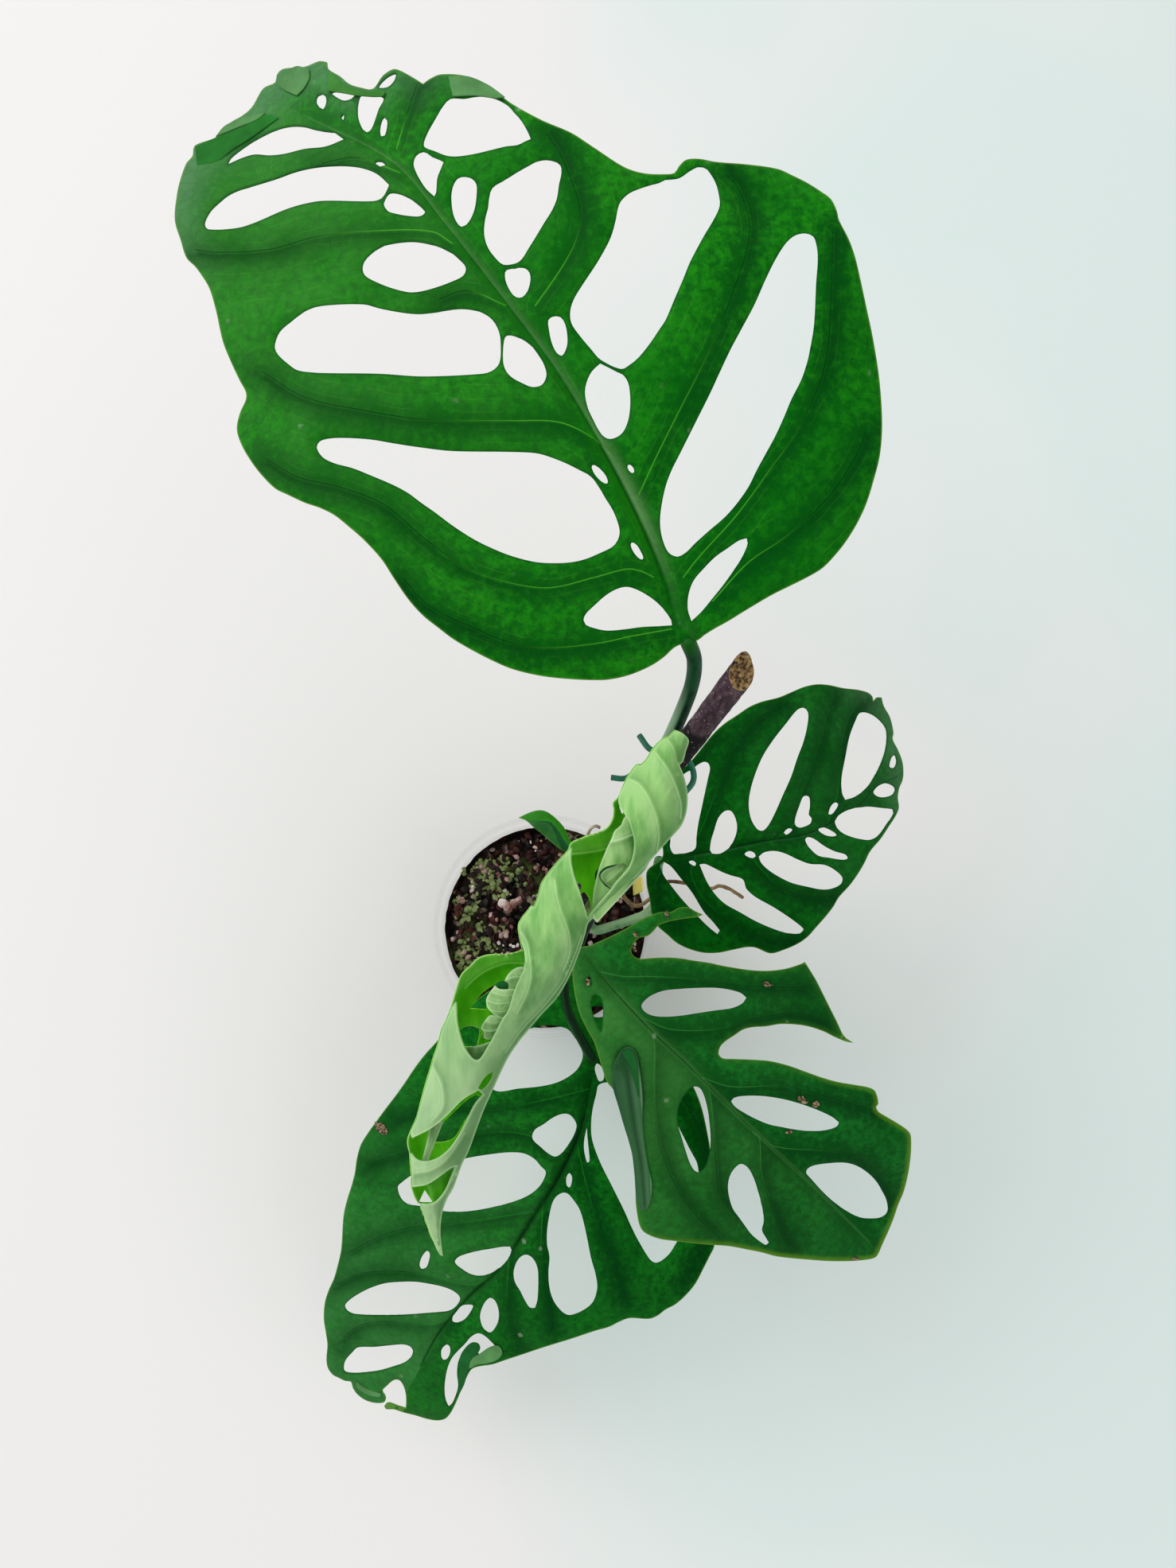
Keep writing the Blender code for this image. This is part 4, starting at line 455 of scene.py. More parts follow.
def stalk_look(name, dark, light, painted_sheen, streak=2.5, painted_sheen_top=1.0, leafy_from=1.0):
    """The skin of a petiole, stem or root: satin, finely streaked along it, with a pale painted sheen on its left
    flank, where it faces the light, up to a height in metres, and turning as green as its blade from another."""
    look, add, spot = new_look(name)
    lengthways = add("Mapping", {"Vector": spot, "Scale": (1.0, 0.5, 0.35)})
    lines = add("TexNoise", {"Vector": lengthways, "Scale": sized(streak), "Detail": 4.0})
    broad = add("TexNoise", {"Vector": spot, "Scale": sized(25.0), "Detail": 1.0})
    blend = add("Math", (lines, broad), operation="ADD")
    green = coat(add, dark, light, (blend, 0.75, 1.2, 0.0, 1.0), easing="LINEAR")
    # Painted sheen: the flank that faces the light, to the left, is painted paler.
    facing = add("NewGeometry", {}, "Normal")
    leftward = add("VectorMath", (facing, (-0.94, 0.0, 0.34)), "Value", operation="DOT_PRODUCT")
    height = add("SeparateXYZ", {"Vector": spot}, "Z")
    below = add("MapRange", (height, painted_sheen_top - 0.012, painted_sheen_top + 0.004, 1.0, 0.0))
    lit_flank = coat(add, green, painted_sheen, (leftward, 0.35, 0.75, 0.0, 1.0), below)
    leafy = coat(add, lit_flank, "#145c14", (height, leafy_from, leafy_from + 0.004, 0.0, 0.9), easing="LINEAR")
    fine = add("Bump", {"Height": lines, "Strength": 0.2, "Distance": 0.0004})
    add("Principled BSDF", {"Base Color": leafy, "Roughness": 0.42, "Specular IOR Level": 0.12, "Normal": fine})
    return look


stem_look = stalk_look("stem_skin", "#39542a", "#7f9657", "#8fa070")
big_petiole = stalk_look("dark_petiole_painted_sheen", "#041c0c", "#1a5030", "#86a886", painted_sheen_top=0.35,
                         leafy_from=0.365)
dark_petiole = stalk_look("dark_petiole", "#010e04", "#072c10", "#0c3a18")
pale_petiole = stalk_look("pale_petiole", "#3f7a45", "#86b184", "#9cc08f")
STEM_ROUTE = [(15.5, -5.5, 86), (20, 2, 120), (26.5, 14.5, 150), (33, 24, 180), (38.8, 32.4, 210),
              (44.2, 39.3, 236), (48.1, 44.2, 262), (51.2, 49.2, 288), (53, 53.5, 312)]


def stem_radius(t):
    """The stem is thinnest between its leaf scars, which stand out as rings."""
    rings = max(0.0, math.cos(2 * math.pi * 5.5 * t)) ** 30
    return 3.75 * (1.0 - 0.1 * t) * (1.0 + 0.1 * rings)


stalk("climbing_stem", STEM_ROUTE, stem_radius, stem_look, "stem", rough=0.12)
for name, node, skin, radius_at, route in (
        ("big_leaf_petiole", "petiole_big", big_petiole,
         lambda t: 2.65 + 0.45 * abs(2 * t - 1) ** 2 - 2.4 * max(0.0, t - 0.84) / 0.16, [
             (53.4, 56.4, 312.5), (55, 58.5, 330), (59.8, 69.5, 350), (60.3, 76.5, 361), (57.75, 80.9, 368.2),
             (57.2, 82.6, 369.6)]),
        ("new_leaf_petiole", "petiole_new", pale_petiole, lambda t: 2.0 - 0.3 * t, [
            (51.2, 50.9, 313.3), (49.6, 52, 326), (50, 50.8, 342), (52, 48.3, 362), (53.2, 44.2, 384)]),
        ("right_leaf_petiole", "petiole_right", pale_petiole, lambda t: 2.6 - 0.5 * t * (1.3 - t), [
            (23.7, -0.3, 121), (28, -3.4, 122), (36, -1.5, 124.5), (46, 1.5, 128.5), (54, 4.5, 135),
            (58.5, 10, 150), (58.5, 18.5, 168), (57.6, 24, 180), (57.95, 26.7, 187.5)]),
        ("lower_right_petiole", "petiole_lower_right", dark_petiole, lambda t: 2.4 - 0.2 * t, [
            (33.2, 17.7, 172), (35.3, 13.6, 174), (33.5, 8.5, 186), (27, 0, 208), (21.8, -9.5, 227),
            (19.6, -15.6, 234.6)]),
        ("lower_left_petiole", "petiole_lower_left", dark_petiole, lambda t: 2.4 - 0.2 * t, [
            (21, 2.3, 131.9), (19.8, -1.8, 133.9), (16, -11, 145), (12, -26, 164), (12.8, -42, 163),
            (17.6, -54, 158.5), (26, -69.5, 152.5)]),
        ("small_leaf_petiole", "petiole_small", pale_petiole, lambda t: 1.6 - 0.2 * t, [
            (21, 7.6, 122.2), (21.4, 11.5, 121.8), (22.2, 19, 126), (22, 28.3, 134.6)])):
    stalk(name, route, radius_at, skin, node)

root_skin = stalk_look("root_skin", "#4f3c2a", "#947a58", "#a08a6c", 3.333)
young_root_skin = stalk_look("young_root_skin", "#84755f", "#b8aa94", "#c8bca8", 3.333)
for name, node, skin, radius_at, route in (
        ("aerial_root_right", "root_right", root_skin, lambda t: 1.25 - 0.35 * t, [
            (28.8, 9.3, 141), (32.5, 9, 138.5), (37.5, 13, 129.5), (41.3, 16.3, 121), (44, 13.2, 118.4),
            (48, 10.2, 117.4), (53, 10.8, 117.3), (60, 16.2, 117.4), (65.9, 22.6, 117.2), (78, 21.8, 117),
            (89.6, 19.2, 116.5), (94.8, 20.7, 116.3), (100.8, 18.6, 115.8), (107.6, 14.2, 115)]),
        ("aerial_root_back", "root_back", young_root_skin, lambda t: 1.15 - 0.3 * t, [
            (18.7, 6.4, 118.5), (17, 18, 114), (19, 32, 113), (22.4, 44, 116), (24, 49.7, 119),
            (27.2, 52.8, 119.8), (30.2, 52, 119)])):
    stalk(name, route, radius_at, skin, node, rough=0.3, grain=2.5)


# Leaves: five leathery blades with rounded windows between their side veins, dark and softly shining above and
# grey-green below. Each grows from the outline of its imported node: the outline is laid flat on the sheet it was
# drawn on, rounded, filled with small faces, and raised again, now with veins, swells and a turned-down margin.
SHEET_RIGHT = Vector((1.0, 0.0, 0.0))
SHEET_UP = Vector((0.0, math.cos(VIEW_TILT), math.sin(VIEW_TILT)))
SHEET_OUT = SHEET_RIGHT.cross(SHEET_UP)
SHADED_WAY = Vector((0.45, -0.9))
FAR_OFF = Vector((1e4, 1e4))
RIB_ROOM = 1.1
SHEET_FACTS = ("off_rib", "along_rib", "off_spine", "rib_distance", "margin_distance", "hole_distance",
               "along_leaf", "rib_shade", "rib_crease")


def sheet_point(base, x, y, relief):
    """A point of a flat sheet slid along its own line of sight by its relief, towards the viewer."""
    flat = Vector(base) + SHEET_RIGHT * x + SHEET_UP * y
    depth = (VIEW_POINT - Vector(base)).dot(SHEET_OUT)
    return VIEW_POINT + (flat - VIEW_POINT) * (1.0 - relief / depth)


def on_sheet(base, point):
    """Where a point lies on a leaf's flat sheet, and its relief."""
    depth = (VIEW_POINT - Vector(base)).dot(SHEET_OUT)
    part = (VIEW_POINT - point).dot(SHEET_OUT) / depth
    flat = VIEW_POINT + (point - VIEW_POINT) / part - Vector(base)
    return flat.dot(SHEET_RIGHT), flat.dot(SHEET_UP), depth * (1.0 - part)


def rounded(points, step, closed=True, corner=68.0):
    """A smooth flat line through given points, divided about every step. Sharp corners stay sharp."""
    spots = [Vector(point) for point in points]
    count = len(spots)
    leans = []
    for number, here in enumerate(spots):
        before = spots[number - 1] if closed or number else here
        after = spots[(number + 1) % count] if closed or number < count - 1 else here
        into = here - before
        out = after - here
        turned = into.angle(out) if into.length > 0 and out.length > 0 else 0.0
        leans.append(None if turned > math.radians(corner) else (after - before) / (into.length + out.length))
    line = []
    for number in range(count if closed else count - 1):
        start = spots[number]
        end = spots[(number + 1) % count]
        run = (end - start).length
        lean = leans[number] if leans[number] is not None else (end - start) / run
        lean_end = leans[(number + 1) % count]
        lean_end = lean_end if lean_end is not None else (end - start) / run
        parts = max(1, round(run / step))
        for part in range(parts):
            t = part / parts
            line.append(start * (2 * t ** 3 - 3 * t ** 2 + 1) + lean * (run * (t ** 3 - 2 * t ** 2 + t))
                        + end * (3 * t ** 2 - 2 * t ** 3) + lean_end * (run * (t ** 3 - t ** 2)))
    return line if closed else [*line, spots[-1]]


def tree_of(points):
    """A search tree of flat points."""
    tree = kdtree.KDTree(len(points))
    for number, point in enumerate(points):
        tree.insert((point[0], point[1], 0.0), number)
    tree.balance()
    return tree


def inside_loops(points, loops):
    """For each flat point, whether it lies inside the outline and outside its holes."""
    spots = np.array([tuple(point) for point in points])
    odd = np.zeros(len(spots), bool)
    for loop in loops:
        starts = np.array([tuple(point) for point in loop])
        ends = np.roll(starts, -1, 0)
        rise = ends[:, 1] - starts[:, 1]
        rise[rise == 0] = 1e-9
        for first in range(0, len(spots), 2000):
            x = spots[first:first + 2000, 0][:, None]
            y = spots[first:first + 2000, 1][:, None]
            crossed = (starts[:, 1] > y) != (ends[:, 1] > y)
            crossed &= x < starts[:, 0] + (ends[:, 0] - starts[:, 0]) * (y - starts[:, 1]) / rise
            odd[first:first + 2000] ^= crossed.sum(1) % 2 == 1
    return odd


def leaf_form(leaf, x, y, side):
    """Arch along the midrib, rise and droop to its sides, and local dips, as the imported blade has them."""
    along = (x * leaf["axis"][0] + y * leaf["axis"][1]) / leaf["length"]
    first, second, third = leaf["arch"]
    relief = first * along + second * along ** 2 + third * along ** 3
    relief += leaf["rise"] * side - leaf["droop"] * side ** 2
    for dip_x, dip_y, reach, height in leaf["dips"]:
        relief += height * math.exp(-((x - dip_x) ** 2 + (y - dip_y) ** 2) / reach ** 2)
    return relief


def packed_loops(node, leaf, midrib_tree):
    """The outline and holes of a packed blade on its flat sheet, the outline first."""
    shape = bmesh.new()
    shape.from_mesh(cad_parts[node].data)
    bmesh.ops.remove_doubles(shape, verts=shape.verts, dist=0.00001)
    places = {}
    for vert in shape.verts:
        x, y, relief = on_sheet(leaf["base"], vert.co / MM)
        side = midrib_tree.find((x, y, 0.0))[2]
        if abs(relief - leaf_form(leaf, x, y, side)) < 0.36:
            places[vert.index] = Vector((x, y))
    following = {}
    for edge in shape.edges:
        upper = [face for face in edge.link_faces if all(vert.index in places for vert in face.verts)]
        if len(upper) == 1:
            for loop in upper[0].loops:
                if loop.edge == edge:
                    following[loop.vert.index] = loop.link_loop_next.vert.index
    loops = []
    while following:
        start, after = following.popitem()
        loop = [start]
        while after != start and after in following:
            loop.append(after)
            after = following.pop(after)
        if len(loop) > 2:
            loops.append([places[index] for index in loop])
    shape.free()
    return sorted(loops, key=lambda loop: -max(point.x for point in loop) + min(point.x for point in loop))


def rib_samples(ribs):
    """Close points along ribs, as a search tree and a list, and for each the rib's half width there, its way
    towards the shaded side, and how far along the rib it is."""
    samples = []
    facts = []
    for points, wide, narrow in ribs:
        line = rounded(points, 0.5, closed=False)
        run = line[-1] - line[0]
        hand = 1.0 if Vector((run.y, -run.x)).dot(SHADED_WAY) > 0 else -1.0
        for number, point in enumerate(line):
            ahead = line[min(number + 1, len(line) - 1)] - line[max(number - 1, 0)]
            part = number / len(line)
            samples.append(point)
            facts.append((wide + (narrow - wide) * part, Vector((ahead.y, -ahead.x)) * hand, part))
    if not samples:
        return tree_of([FAR_OFF]), [FAR_OFF], [(1.0, SHADED_WAY, 0.0)]
    return tree_of(samples), samples, facts


def off_rib(place, ribs):
    """How far a place is off the nearest of some ribs, in its half widths and signed towards its shaded side,
    and how far along the rib it is."""
    tree, samples, facts = ribs
    _, near, distance = tree.find((place.x, place.y, 0.0))
    width, shaded, part = facts[near]
    return math.copysign(distance / width, (place - samples[near]).dot(shaded)), part


def rib_shades(corners, ribs, reach):
    """For each flat point, the light or shade beside the ribs, from -1 on the lit side to 1 on the shaded one,
    and how deep it lies in a rib's crease, which deepens along the rib."""
    shades = np.zeros(len(corners))
    creases = np.zeros(len(corners))
    for rib in ribs:
        tree, samples, facts = rib_samples([rib])
        for number, corner in enumerate(corners):
            _, near, distance = tree.find((corner[0], corner[1], 0.0))
            if distance < 4 * reach:
                across = (corner - samples[near]).dot(facts[near][1].normalized())
                fall = math.exp(-distance / reach)
                shades[number] += fall * across / max(distance, 1.1)
                creases[number] = max(creases[number], fall * facts[near][2])
    return np.clip(shades, -1.0, 1.0), creases


def thin_sheet(name, base, loops, ribs, relief_at, looks, spacing=1.6, thickness=0.6, step=1.2, spine=(),
               reach=6.5):
    """A thin blade filled with small faces. Ribs are lines of (points, half width at start, at end).

    Its points keep how far they are off a rib and off the spine, in half widths, how far along the rib and the
    leaf, how far from any rib, from the margin and from a hole, in centimetres, and the shade and the crease
    beside the ribs. Loops of few points are rounded at every corner, but in the finest sheets.
    """
    loops = [rounded(loop, step, corner=68.0 if len(loop) > 12 or step < 1 else 150.0) for loop in loops]
    rib_tree = rib_samples([*ribs, *spine])[0]
    side_ribs = rib_samples(ribs)
    spine_ribs = rib_samples(spine)
    leaf_start = Vector(spine[0][0][0]) if spine else Vector((0.0, 0.0))
    leaf_run = Vector(spine[0][0][-1]) - leaf_start if spine else Vector((1e6, 0.0))
    outer_tree = tree_of(loops[0])
    hole_tree = tree_of([point for loop in loops[1:] for point in loop] or [FAR_OFF])
    edge_tree = tree_of([point for loop in loops for point in loop])
    flat = []
    edges = []
    for loop in loops:
        first = len(flat)
        flat.extend(loop)
        edges.extend((first + number, first + (number + 1) % len(loop)) for number in range(len(loop)))
    loose = []
    for points, *_ in [*ribs, *spine]:
        line = rounded(points, 0.5, closed=False)[::3]
        first = len(flat)
        flat.extend(line)
        edges.extend((first + number, first + number + 1) for number in range(len(line) - 1))
        for start, end in zip(line, line[1:]):
            across = Vector((start.y - end.y, end.x - start.x)).normalized()
            loose.extend((start + across * RIB_ROOM, start - across * RIB_ROOM))
    low = Vector((min(point.x for point in loops[0]), min(point.y for point in loops[0])))
    high = Vector((max(point.x for point in loops[0]), max(point.y for point in loops[0])))
    row_height = spacing * 0.87
    for row in range(int((high.y - low.y) / row_height) + 1):
        for column in range(int((high.x - low.x) / spacing) + 2):
            place = Vector((low.x + spacing * (column - 0.5 * (row % 2)), low.y + row_height * row))
            if rib_tree.find((place.x, place.y, 0.0))[2] > RIB_ROOM + 0.5 * spacing:
                loose.append(place)
    kept = inside_loops(loose, loops)
    flat.extend(place for place, keep in zip(loose, kept)
                if keep and edge_tree.find((place.x, place.y, 0.0))[2] > 0.5 * spacing)
    corners, _, triangles, *_ = geometry.delaunay_2d_cdt(flat, edges, [], 0, 1e-4, True)
    middles = [(corners[a] + corners[b] + corners[c]) / 3 for a, b, c in triangles]
    filled = inside_loops(middles, loops)
    facts = []
    points = []
    for x, y in corners:
        place = Vector((x, y))
        rib, outer, hole = [tree.find((x, y, 0.0))[2] for tree in (rib_tree, outer_tree, hole_tree)]
        off_side, along = off_rib(place, side_ribs)
        along_leaf = (place - leaf_start).dot(leaf_run) / leaf_run.length_squared
        facts.append((abs(off_side), along, off_rib(place, spine_ribs)[0], rib / 10.0, outer / 10.0,
                      hole / 10.0, along_leaf))
        points.append(sheet_point(base, x, y, relief_at(x, y, rib, min(outer, hole))))
    faces = []
    for (a, b, c), keep in zip(triangles, filled):
        if keep:
            turned = (corners[b] - corners[a]).cross(corners[c] - corners[a]) > 0
            faces.append((a, b, c) if turned else (a, c, b))
    made = new_mesh(name, points, faces, looks)
    for title, values in zip(SHEET_FACTS, (*zip(*facts), *rib_shades(corners, ribs, reach))):
        made.data.attributes.new(title, "FLOAT", "POINT").data.foreach_set("value", values)
    pick(made)
    bpy.ops.object.mode_set(mode="EDIT")
    bpy.ops.mesh.select_all(action="DESELECT")
    bpy.ops.mesh.select_mode(type="VERT")
    bpy.ops.mesh.select_loose()
    bpy.ops.mesh.delete(type="VERT")
    bpy.ops.object.mode_set(mode="OBJECT")
    shell = made.modifiers.new("thickness", "SOLIDIFY")
    shell.thickness = thickness * MM
    shell.offset = -1.0
    shell.material_offset = 1
    bpy.ops.object.modifier_apply(modifier="thickness")
    bpy.ops.object.shade_smooth_by_angle(angle=math.radians(50.0))
    return made


def blade_look(name, deep, bright, satin, vein, fold, shine, painted_sheen=(0.0, 0.5), sides=(1.0, 1.0), fold_end=0.8,
               ageing=0.0, haze=0.0, rim="#6f9a3c"):
    """The upper skin of a grown leaf: a green with a painted sheen, quilted and mottled between its veins, with
    painted shade on one side of each, a net of fine veins, pale worn margins and dark rims round the holes.

    Fold is the colours across the midrib, a painted sheen and shade, and fold_end how strong they are past its
    middle. The argument painted_sheen is how much painted sheen the blade has from base to tip, and sides how
    much of that on each side of the midrib. Ageing is how yellow the margin is, and haze how strong a grey
    painted sheen is round the tip.
    """
    look, add, spot = new_look(name)
    off_vein, along_vein, off_midrib, to_vein, to_margin, to_hole, along_leaf, shade, crease = [
        add("Attribute", {}, "Fac", attribute_name=title) for title in SHEET_FACTS]
    grain = add("TexNoise", {"Vector": spot, "Scale": sized(3.03), "Detail": 5.0, "Roughness": 0.65})
    patch = add("TexNoise", {"Vector": spot, "Scale": sized(16.67), "Detail": 2.0})
    broad = add("TexNoise", {"Vector": spot, "Scale": sized(58.82), "Detail": 2.0})
    tiny = add("TexNoise", {"Vector": spot, "Scale": sized(1.111), "Detail": 3.0})
    dust = add("TexVoronoi", {"Vector": spot, "Scale": sized(16.67)})
    bent = add("TexNoise", {"Vector": spot, "Scale": sized(11.11), "Detail": 2.0}, "Color")
    loose = add("VectorMath", (bent, (0.012, 0.012, 0.012), spot), operation="MULTIPLY_ADD")
    net = add("TexVoronoi", {"Vector": loose, "Scale": sized(5.0)}, feature="DISTANCE_TO_EDGE")

    # Between the veins the blade swells, and is painted lighter there and darker by the veins, a painted light
    # and shade of the swells.
    swell = add("MapRange", (to_vein, 0.05, 0.9, -0.08, 0.05), interpolation_type="SMOOTHSTEP")
    mottle = add("Math", (patch, 0.18, swell), operation="MULTIPLY_ADD")
    quilted = add("Math", (grain, 0.82, mottle), operation="MULTIPLY_ADD")
    # Hair veins run beside the side veins, 4.6 mm apart and a little waved.
    wavy = add("Math", (patch, 0.3, to_vein), operation="MULTIPLY_ADD")
    strand = add("Math", (wavy, 0.23), operation="PINGPONG")
    # Painted shade darkens the blade on the shaded side of a vein and in its crease, and the vein itself darkens
    # outwards.
    beside = add("MapRange", (shade, 0.0, 1.0, 0.0, 0.4), interpolation_type="SMOOTHSTEP")
    painted_vein_shade = add("Math", (crease, 0.4, beside), operation="MULTIPLY_ADD")
    vein_tint = coat(add, vein, "#033010", (along_vein, 0.15, 0.6, 0.0, 1.0))
    # Across the midrib its fold is painted: a painted sheen on one side and painted shade in its crease.
    across = add("MapRange", (off_midrib, -2.0, 2.0))
    folded = add("ValToRGB", {"Fac": across}, stops=[
        ((place + 2.0) / 4.0, (*colour(tint)[:3], strength)) for place, tint, strength in fold])
    speck = add("Math", (grain, 0.3, dust), operation="MULTIPLY_ADD")
    skin = deep
    for tint, *strengths in (
            # The blade's two greens in fine and in broad patches, its painted sheen, and a grey painted sheen
            # round the tip.
            (bright, (quilted, 0.38, 0.7, 0.0, 1.0)),
            (deep, (broad, 0.4, 0.66, 0.0, 0.45)),
            (satin, (patch, 0.3, 0.7, 0.6, 1.0), (along_leaf, 0.1, 1.0, *painted_sheen),
             (off_midrib, -4.0, 4.0, *sides)),
            ("#5c8a62", (along_leaf, 0.84, 1.04, 0.0, haze), (to_margin, 0.1, 1.5, 1.0, 0.1)),
            # The net of fine veins, the hair veins, the painted shade beside the side veins, those veins, and the
            # midrib's painted sheen and shade.
            (deep, (net, 0.0, 0.2, 0.17, 0.0)),
            (vein, (strand, 0.0, 0.03, 0.18, 0.0), (patch, 0.4, 0.6, 0.0, 1.0)),
            ("#01300f", painted_vein_shade),
            (vein_tint, (off_vein, 0.4, 1.4, 0.85, 0.0)),
            (folded, folded.node.outputs["Alpha"], (along_leaf, 0.05, 0.22, 0.1, 1.0),
             (along_leaf, 0.2, 0.45, 1.0, fold_end)),
            # The yellowed margin, its worn rim, the dark rims of the holes, and flecks of dust.
            ("#5f8f1a", (to_margin, 0.05, 0.28, ageing, 0.0), (along_leaf, 0.5, 0.9, 0.15, 1.0)),
            (rim, (to_margin, 0.015, 0.06, 0.5, 0.0)),
            ("#0c4a18", (to_hole, 0.02, 0.09, 0.5, 0.0)),
            ("#a3bd9c", (speck, 0.17, 0.24, 0.35, 0.0), (patch, 0.48, 0.6, 0.0, 1.0))):
        skin = coat(add, skin, tint, *strengths)

    cells = add("MapRange", (net, 0.0, 0.3, 0.0, 0.6), interpolation_type="SMOOTHSTEP")
    pores = add("Math", (tiny, cells), operation="ADD")
    height = add("Math", (grain, 1.5, pores), operation="MULTIPLY_ADD")
    relief = add("Bump", {"Height": height, "Strength": 0.26, "Distance": 0.0005})
    gloss = add("MapRange", (grain, 0.3, 0.7, 0.36, 0.52), interpolation_type="SMOOTHSTEP")
    add("Principled BSDF", {"Base Color": skin, "Roughness": gloss, "IOR": 1.42, "Specular IOR Level": shine,
                            "Normal": relief})
    return look


def under_look(name, pale, line_tint):
    """The underside: duller and greyer, its veins standing out paler."""
    look, add, spot = new_look(name)
    blotch = add("TexNoise", {"Vector": spot, "Scale": sized(8.333), "Detail": 4.0})
    lighter = tuple(min(1.0, 1.5 * part) for part in colour(pale))
    skin = add("ValToRGB", {"Fac": blotch}, stops=[(0.3, pale), (0.7, lighter)])
    off_vein = add("Attribute", {}, "Fac", attribute_name="off_rib")
    veined = coat(add, skin, line_tint, (off_vein, 0.8, 1.6, 0.8, 0.0), easing="LINEAR")
    net = add("TexVoronoi", {"Vector": spot, "Scale": sized(3.03)}, feature="DISTANCE_TO_EDGE")
    relief = add("Bump", {"Height": net, "Strength": 0.3, "Distance": 0.0005}, invert=True)
    add("Principled BSDF", {"Base Color": veined, "Roughness": 0.6, "Specular IOR Level": 0.06,
                            "Normal": relief})
    return look


def oval(x, y, long, short, lean, steps, ragged=lambda turn: 1.0):
    """Points round a leaning oval."""
    turned = Matrix.Rotation(math.radians(lean), 2)
    turns = [2 * math.pi * step / steps for step in range(steps)]
    return [Vector((x, y)) + turned @ Vector((long * math.cos(turn), short * math.sin(turn))) * ragged(turn)
            for turn in turns]


def grow_leaf(node, leaf, upper):
    """A finished blade in place of its packed one. A small packed hole that an oval of the leaf stands for is
    left out. The leaf keeps its relief, for what lies on it."""
    midrib_tree = tree_of(rounded(leaf["midrib"], 0.5, closed=False))
    ovals = [oval(*measures, 12) for measures in leaf.get("ovals", [])]
    middles = [Vector(measures[:2]) for measures in leaf.get("ovals", [])]
    packed = [loop for loop in packed_loops(node, leaf, midrib_tree) if len(loop) > 12 or not any(
        (sum(loop, Vector((0.0, 0.0))) / len(loop) - middle).length < 3.0 for middle in middles)]
    loops = packed + ovals + leaf.get("small_holes", [])
    spine = [([(0, 0), *leaf["midrib"], *leaf.get("tip", [])], leaf["rib"], 0.5)]
    ribs = [(line, 0.2, 0.14) for line in leaf["laterals"]]

    def relief_at(x, y, rib_distance, margin):
        side = midrib_tree.find((x, y, 0.0))[2]
        relief = leaf_form(leaf, x, y, side)
        fade = min(1.0, margin / 4.0)
        relief += fade * (leaf["swell"] * (1.0 - math.exp(-rib_distance / 7.0)) - 0.35 * leaf["swell"])
        relief -= 0.3 * math.exp(-(rib_distance / 0.9) ** 2)
        relief -= 0.8 * math.exp(-(side / 2.0) ** 2) * fade
        relief -= 0.8 * math.exp(-margin / 1.6)
        place = Vector((x, y, leaf["length"]))
        return relief + 0.9 * noise.noise(place / 19.0) + 0.22 * noise.noise(place / 5.0)

    made = thin_sheet(f"{node}_blade", leaf["base"], loops, ribs, relief_at, [upper, leaf_under],
                      leaf["spacing"], spine=spine)
    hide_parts(node)
    leaf["relief"] = lambda x, y: relief_at(x, y, 9.0, 9.0)


def flap(name, leaf, outline, looks, lift, curl=0.0, spine=()):
    """Part of a blade's margin folded or curled back over it, or a scar on it."""
    def relief_at(x, y, rib_distance, margin):
        return leaf["relief"](x, y) + lift + curl * (1 - math.exp(-margin))

    made = thin_sheet(name, leaf["base"], [[Vector(point) for point in outline]], [], relief_at, looks,
                      spacing=1.0, thickness=0.4, step=0.9, spine=spine)


# Each leaf has its base, the way and length of its midrib, its arch, rise, droop and dips, how much it swells
# between its veins, the spacing of its faces, the half width of its midrib, and the lines of its veins.
BIG_LEAF = {
    "slot": "leaf_big", "base": (57.8, 82.6, 370.0), "axis": (-0.6, 0.8), "length": 240.0,
    "arch": (55.0, -31.0, -59.0), "rise": 0.16, "droop": 0.0016, "swell": 1.3, "spacing": 1.7, "rib": 5.4,
    "dips": [(-150, 175, 30, -10), (20, 160, 35, -9), (62, 90, 22, -6), (-150, 75, 22, -6),
             (-172, 145, 18, 5)],
    "ovals": [(-30.2, 54.85, 4.0, 1.35, -50), (-17.6, 28.9, 3.4, 1.2, -56), (-19.7, 56.7, 1.6, 0.85, -57)],
    "midrib": [(-4, 4), (-8, 18), (-17, 40), (-30, 65), (-45, 90), (-62, 113), (-83, 140), (-100, 160),
               (-130, 176)],
    "small_holes": [[(-106.3, 160.5), (-104, 160.9), (-102.8, 159.5), (-104.5, 159)],
                    [(-117.8, 175.8), (-117.2, 176.6), (-116.7, 176), (-117, 174.7)]],
    "laterals": [
        [(-6, 2.5), (-20, 0), (-28, -1.8), (-38, -3.2), (-47, -3.8), (-56, -3.2), (-65, -0.5), (-73, 3),
         (-82, 7),
         (-90, 12), (-97, 20)],
        [(-12, 20), (-16, 22), (-21, 22.8), (-32, 20), (-47, 16.5), (-60, 18), (-75, 23), (-90, 33.5),
         (-103, 44.5), (-118, 50.5), (-132, 53.8), (-143, 60)],
        [(-27, 62), (-33, 67.5), (-44, 72.5), (-60, 73), (-90, 73.5), (-110, 76.5), (-130, 81), (-145, 90)],
        [(-62, 112), (-75, 117), (-85, 114)],
        [(-80, 133), (-87, 137), (-105, 137.3), (-125, 135.5), (-142, 131), (-160, 130), (-168, 131)],
        [(-98, 157), (-112, 162), (-125, 160)],
        [(8, 12), (20, 25), (33, 34), (47, 47), (57, 62), (60, 70)],
        [(-2, 20), (3, 26.5), (16, 41), (27, 56), (38, 72), (46, 92), (48, 113), (48.5, 137)],
        [(-17, 48), (-11, 61), (-3, 77), (6, 95), (15, 117), (20.5, 137), (17, 151), (12, 157)],
        [(-52, 112), (-43, 125), (-38, 135), (-37, 145), (-43, 162), (-48, 170)],
        [(-99, 165), (-96, 175), (-92, 187)]]}

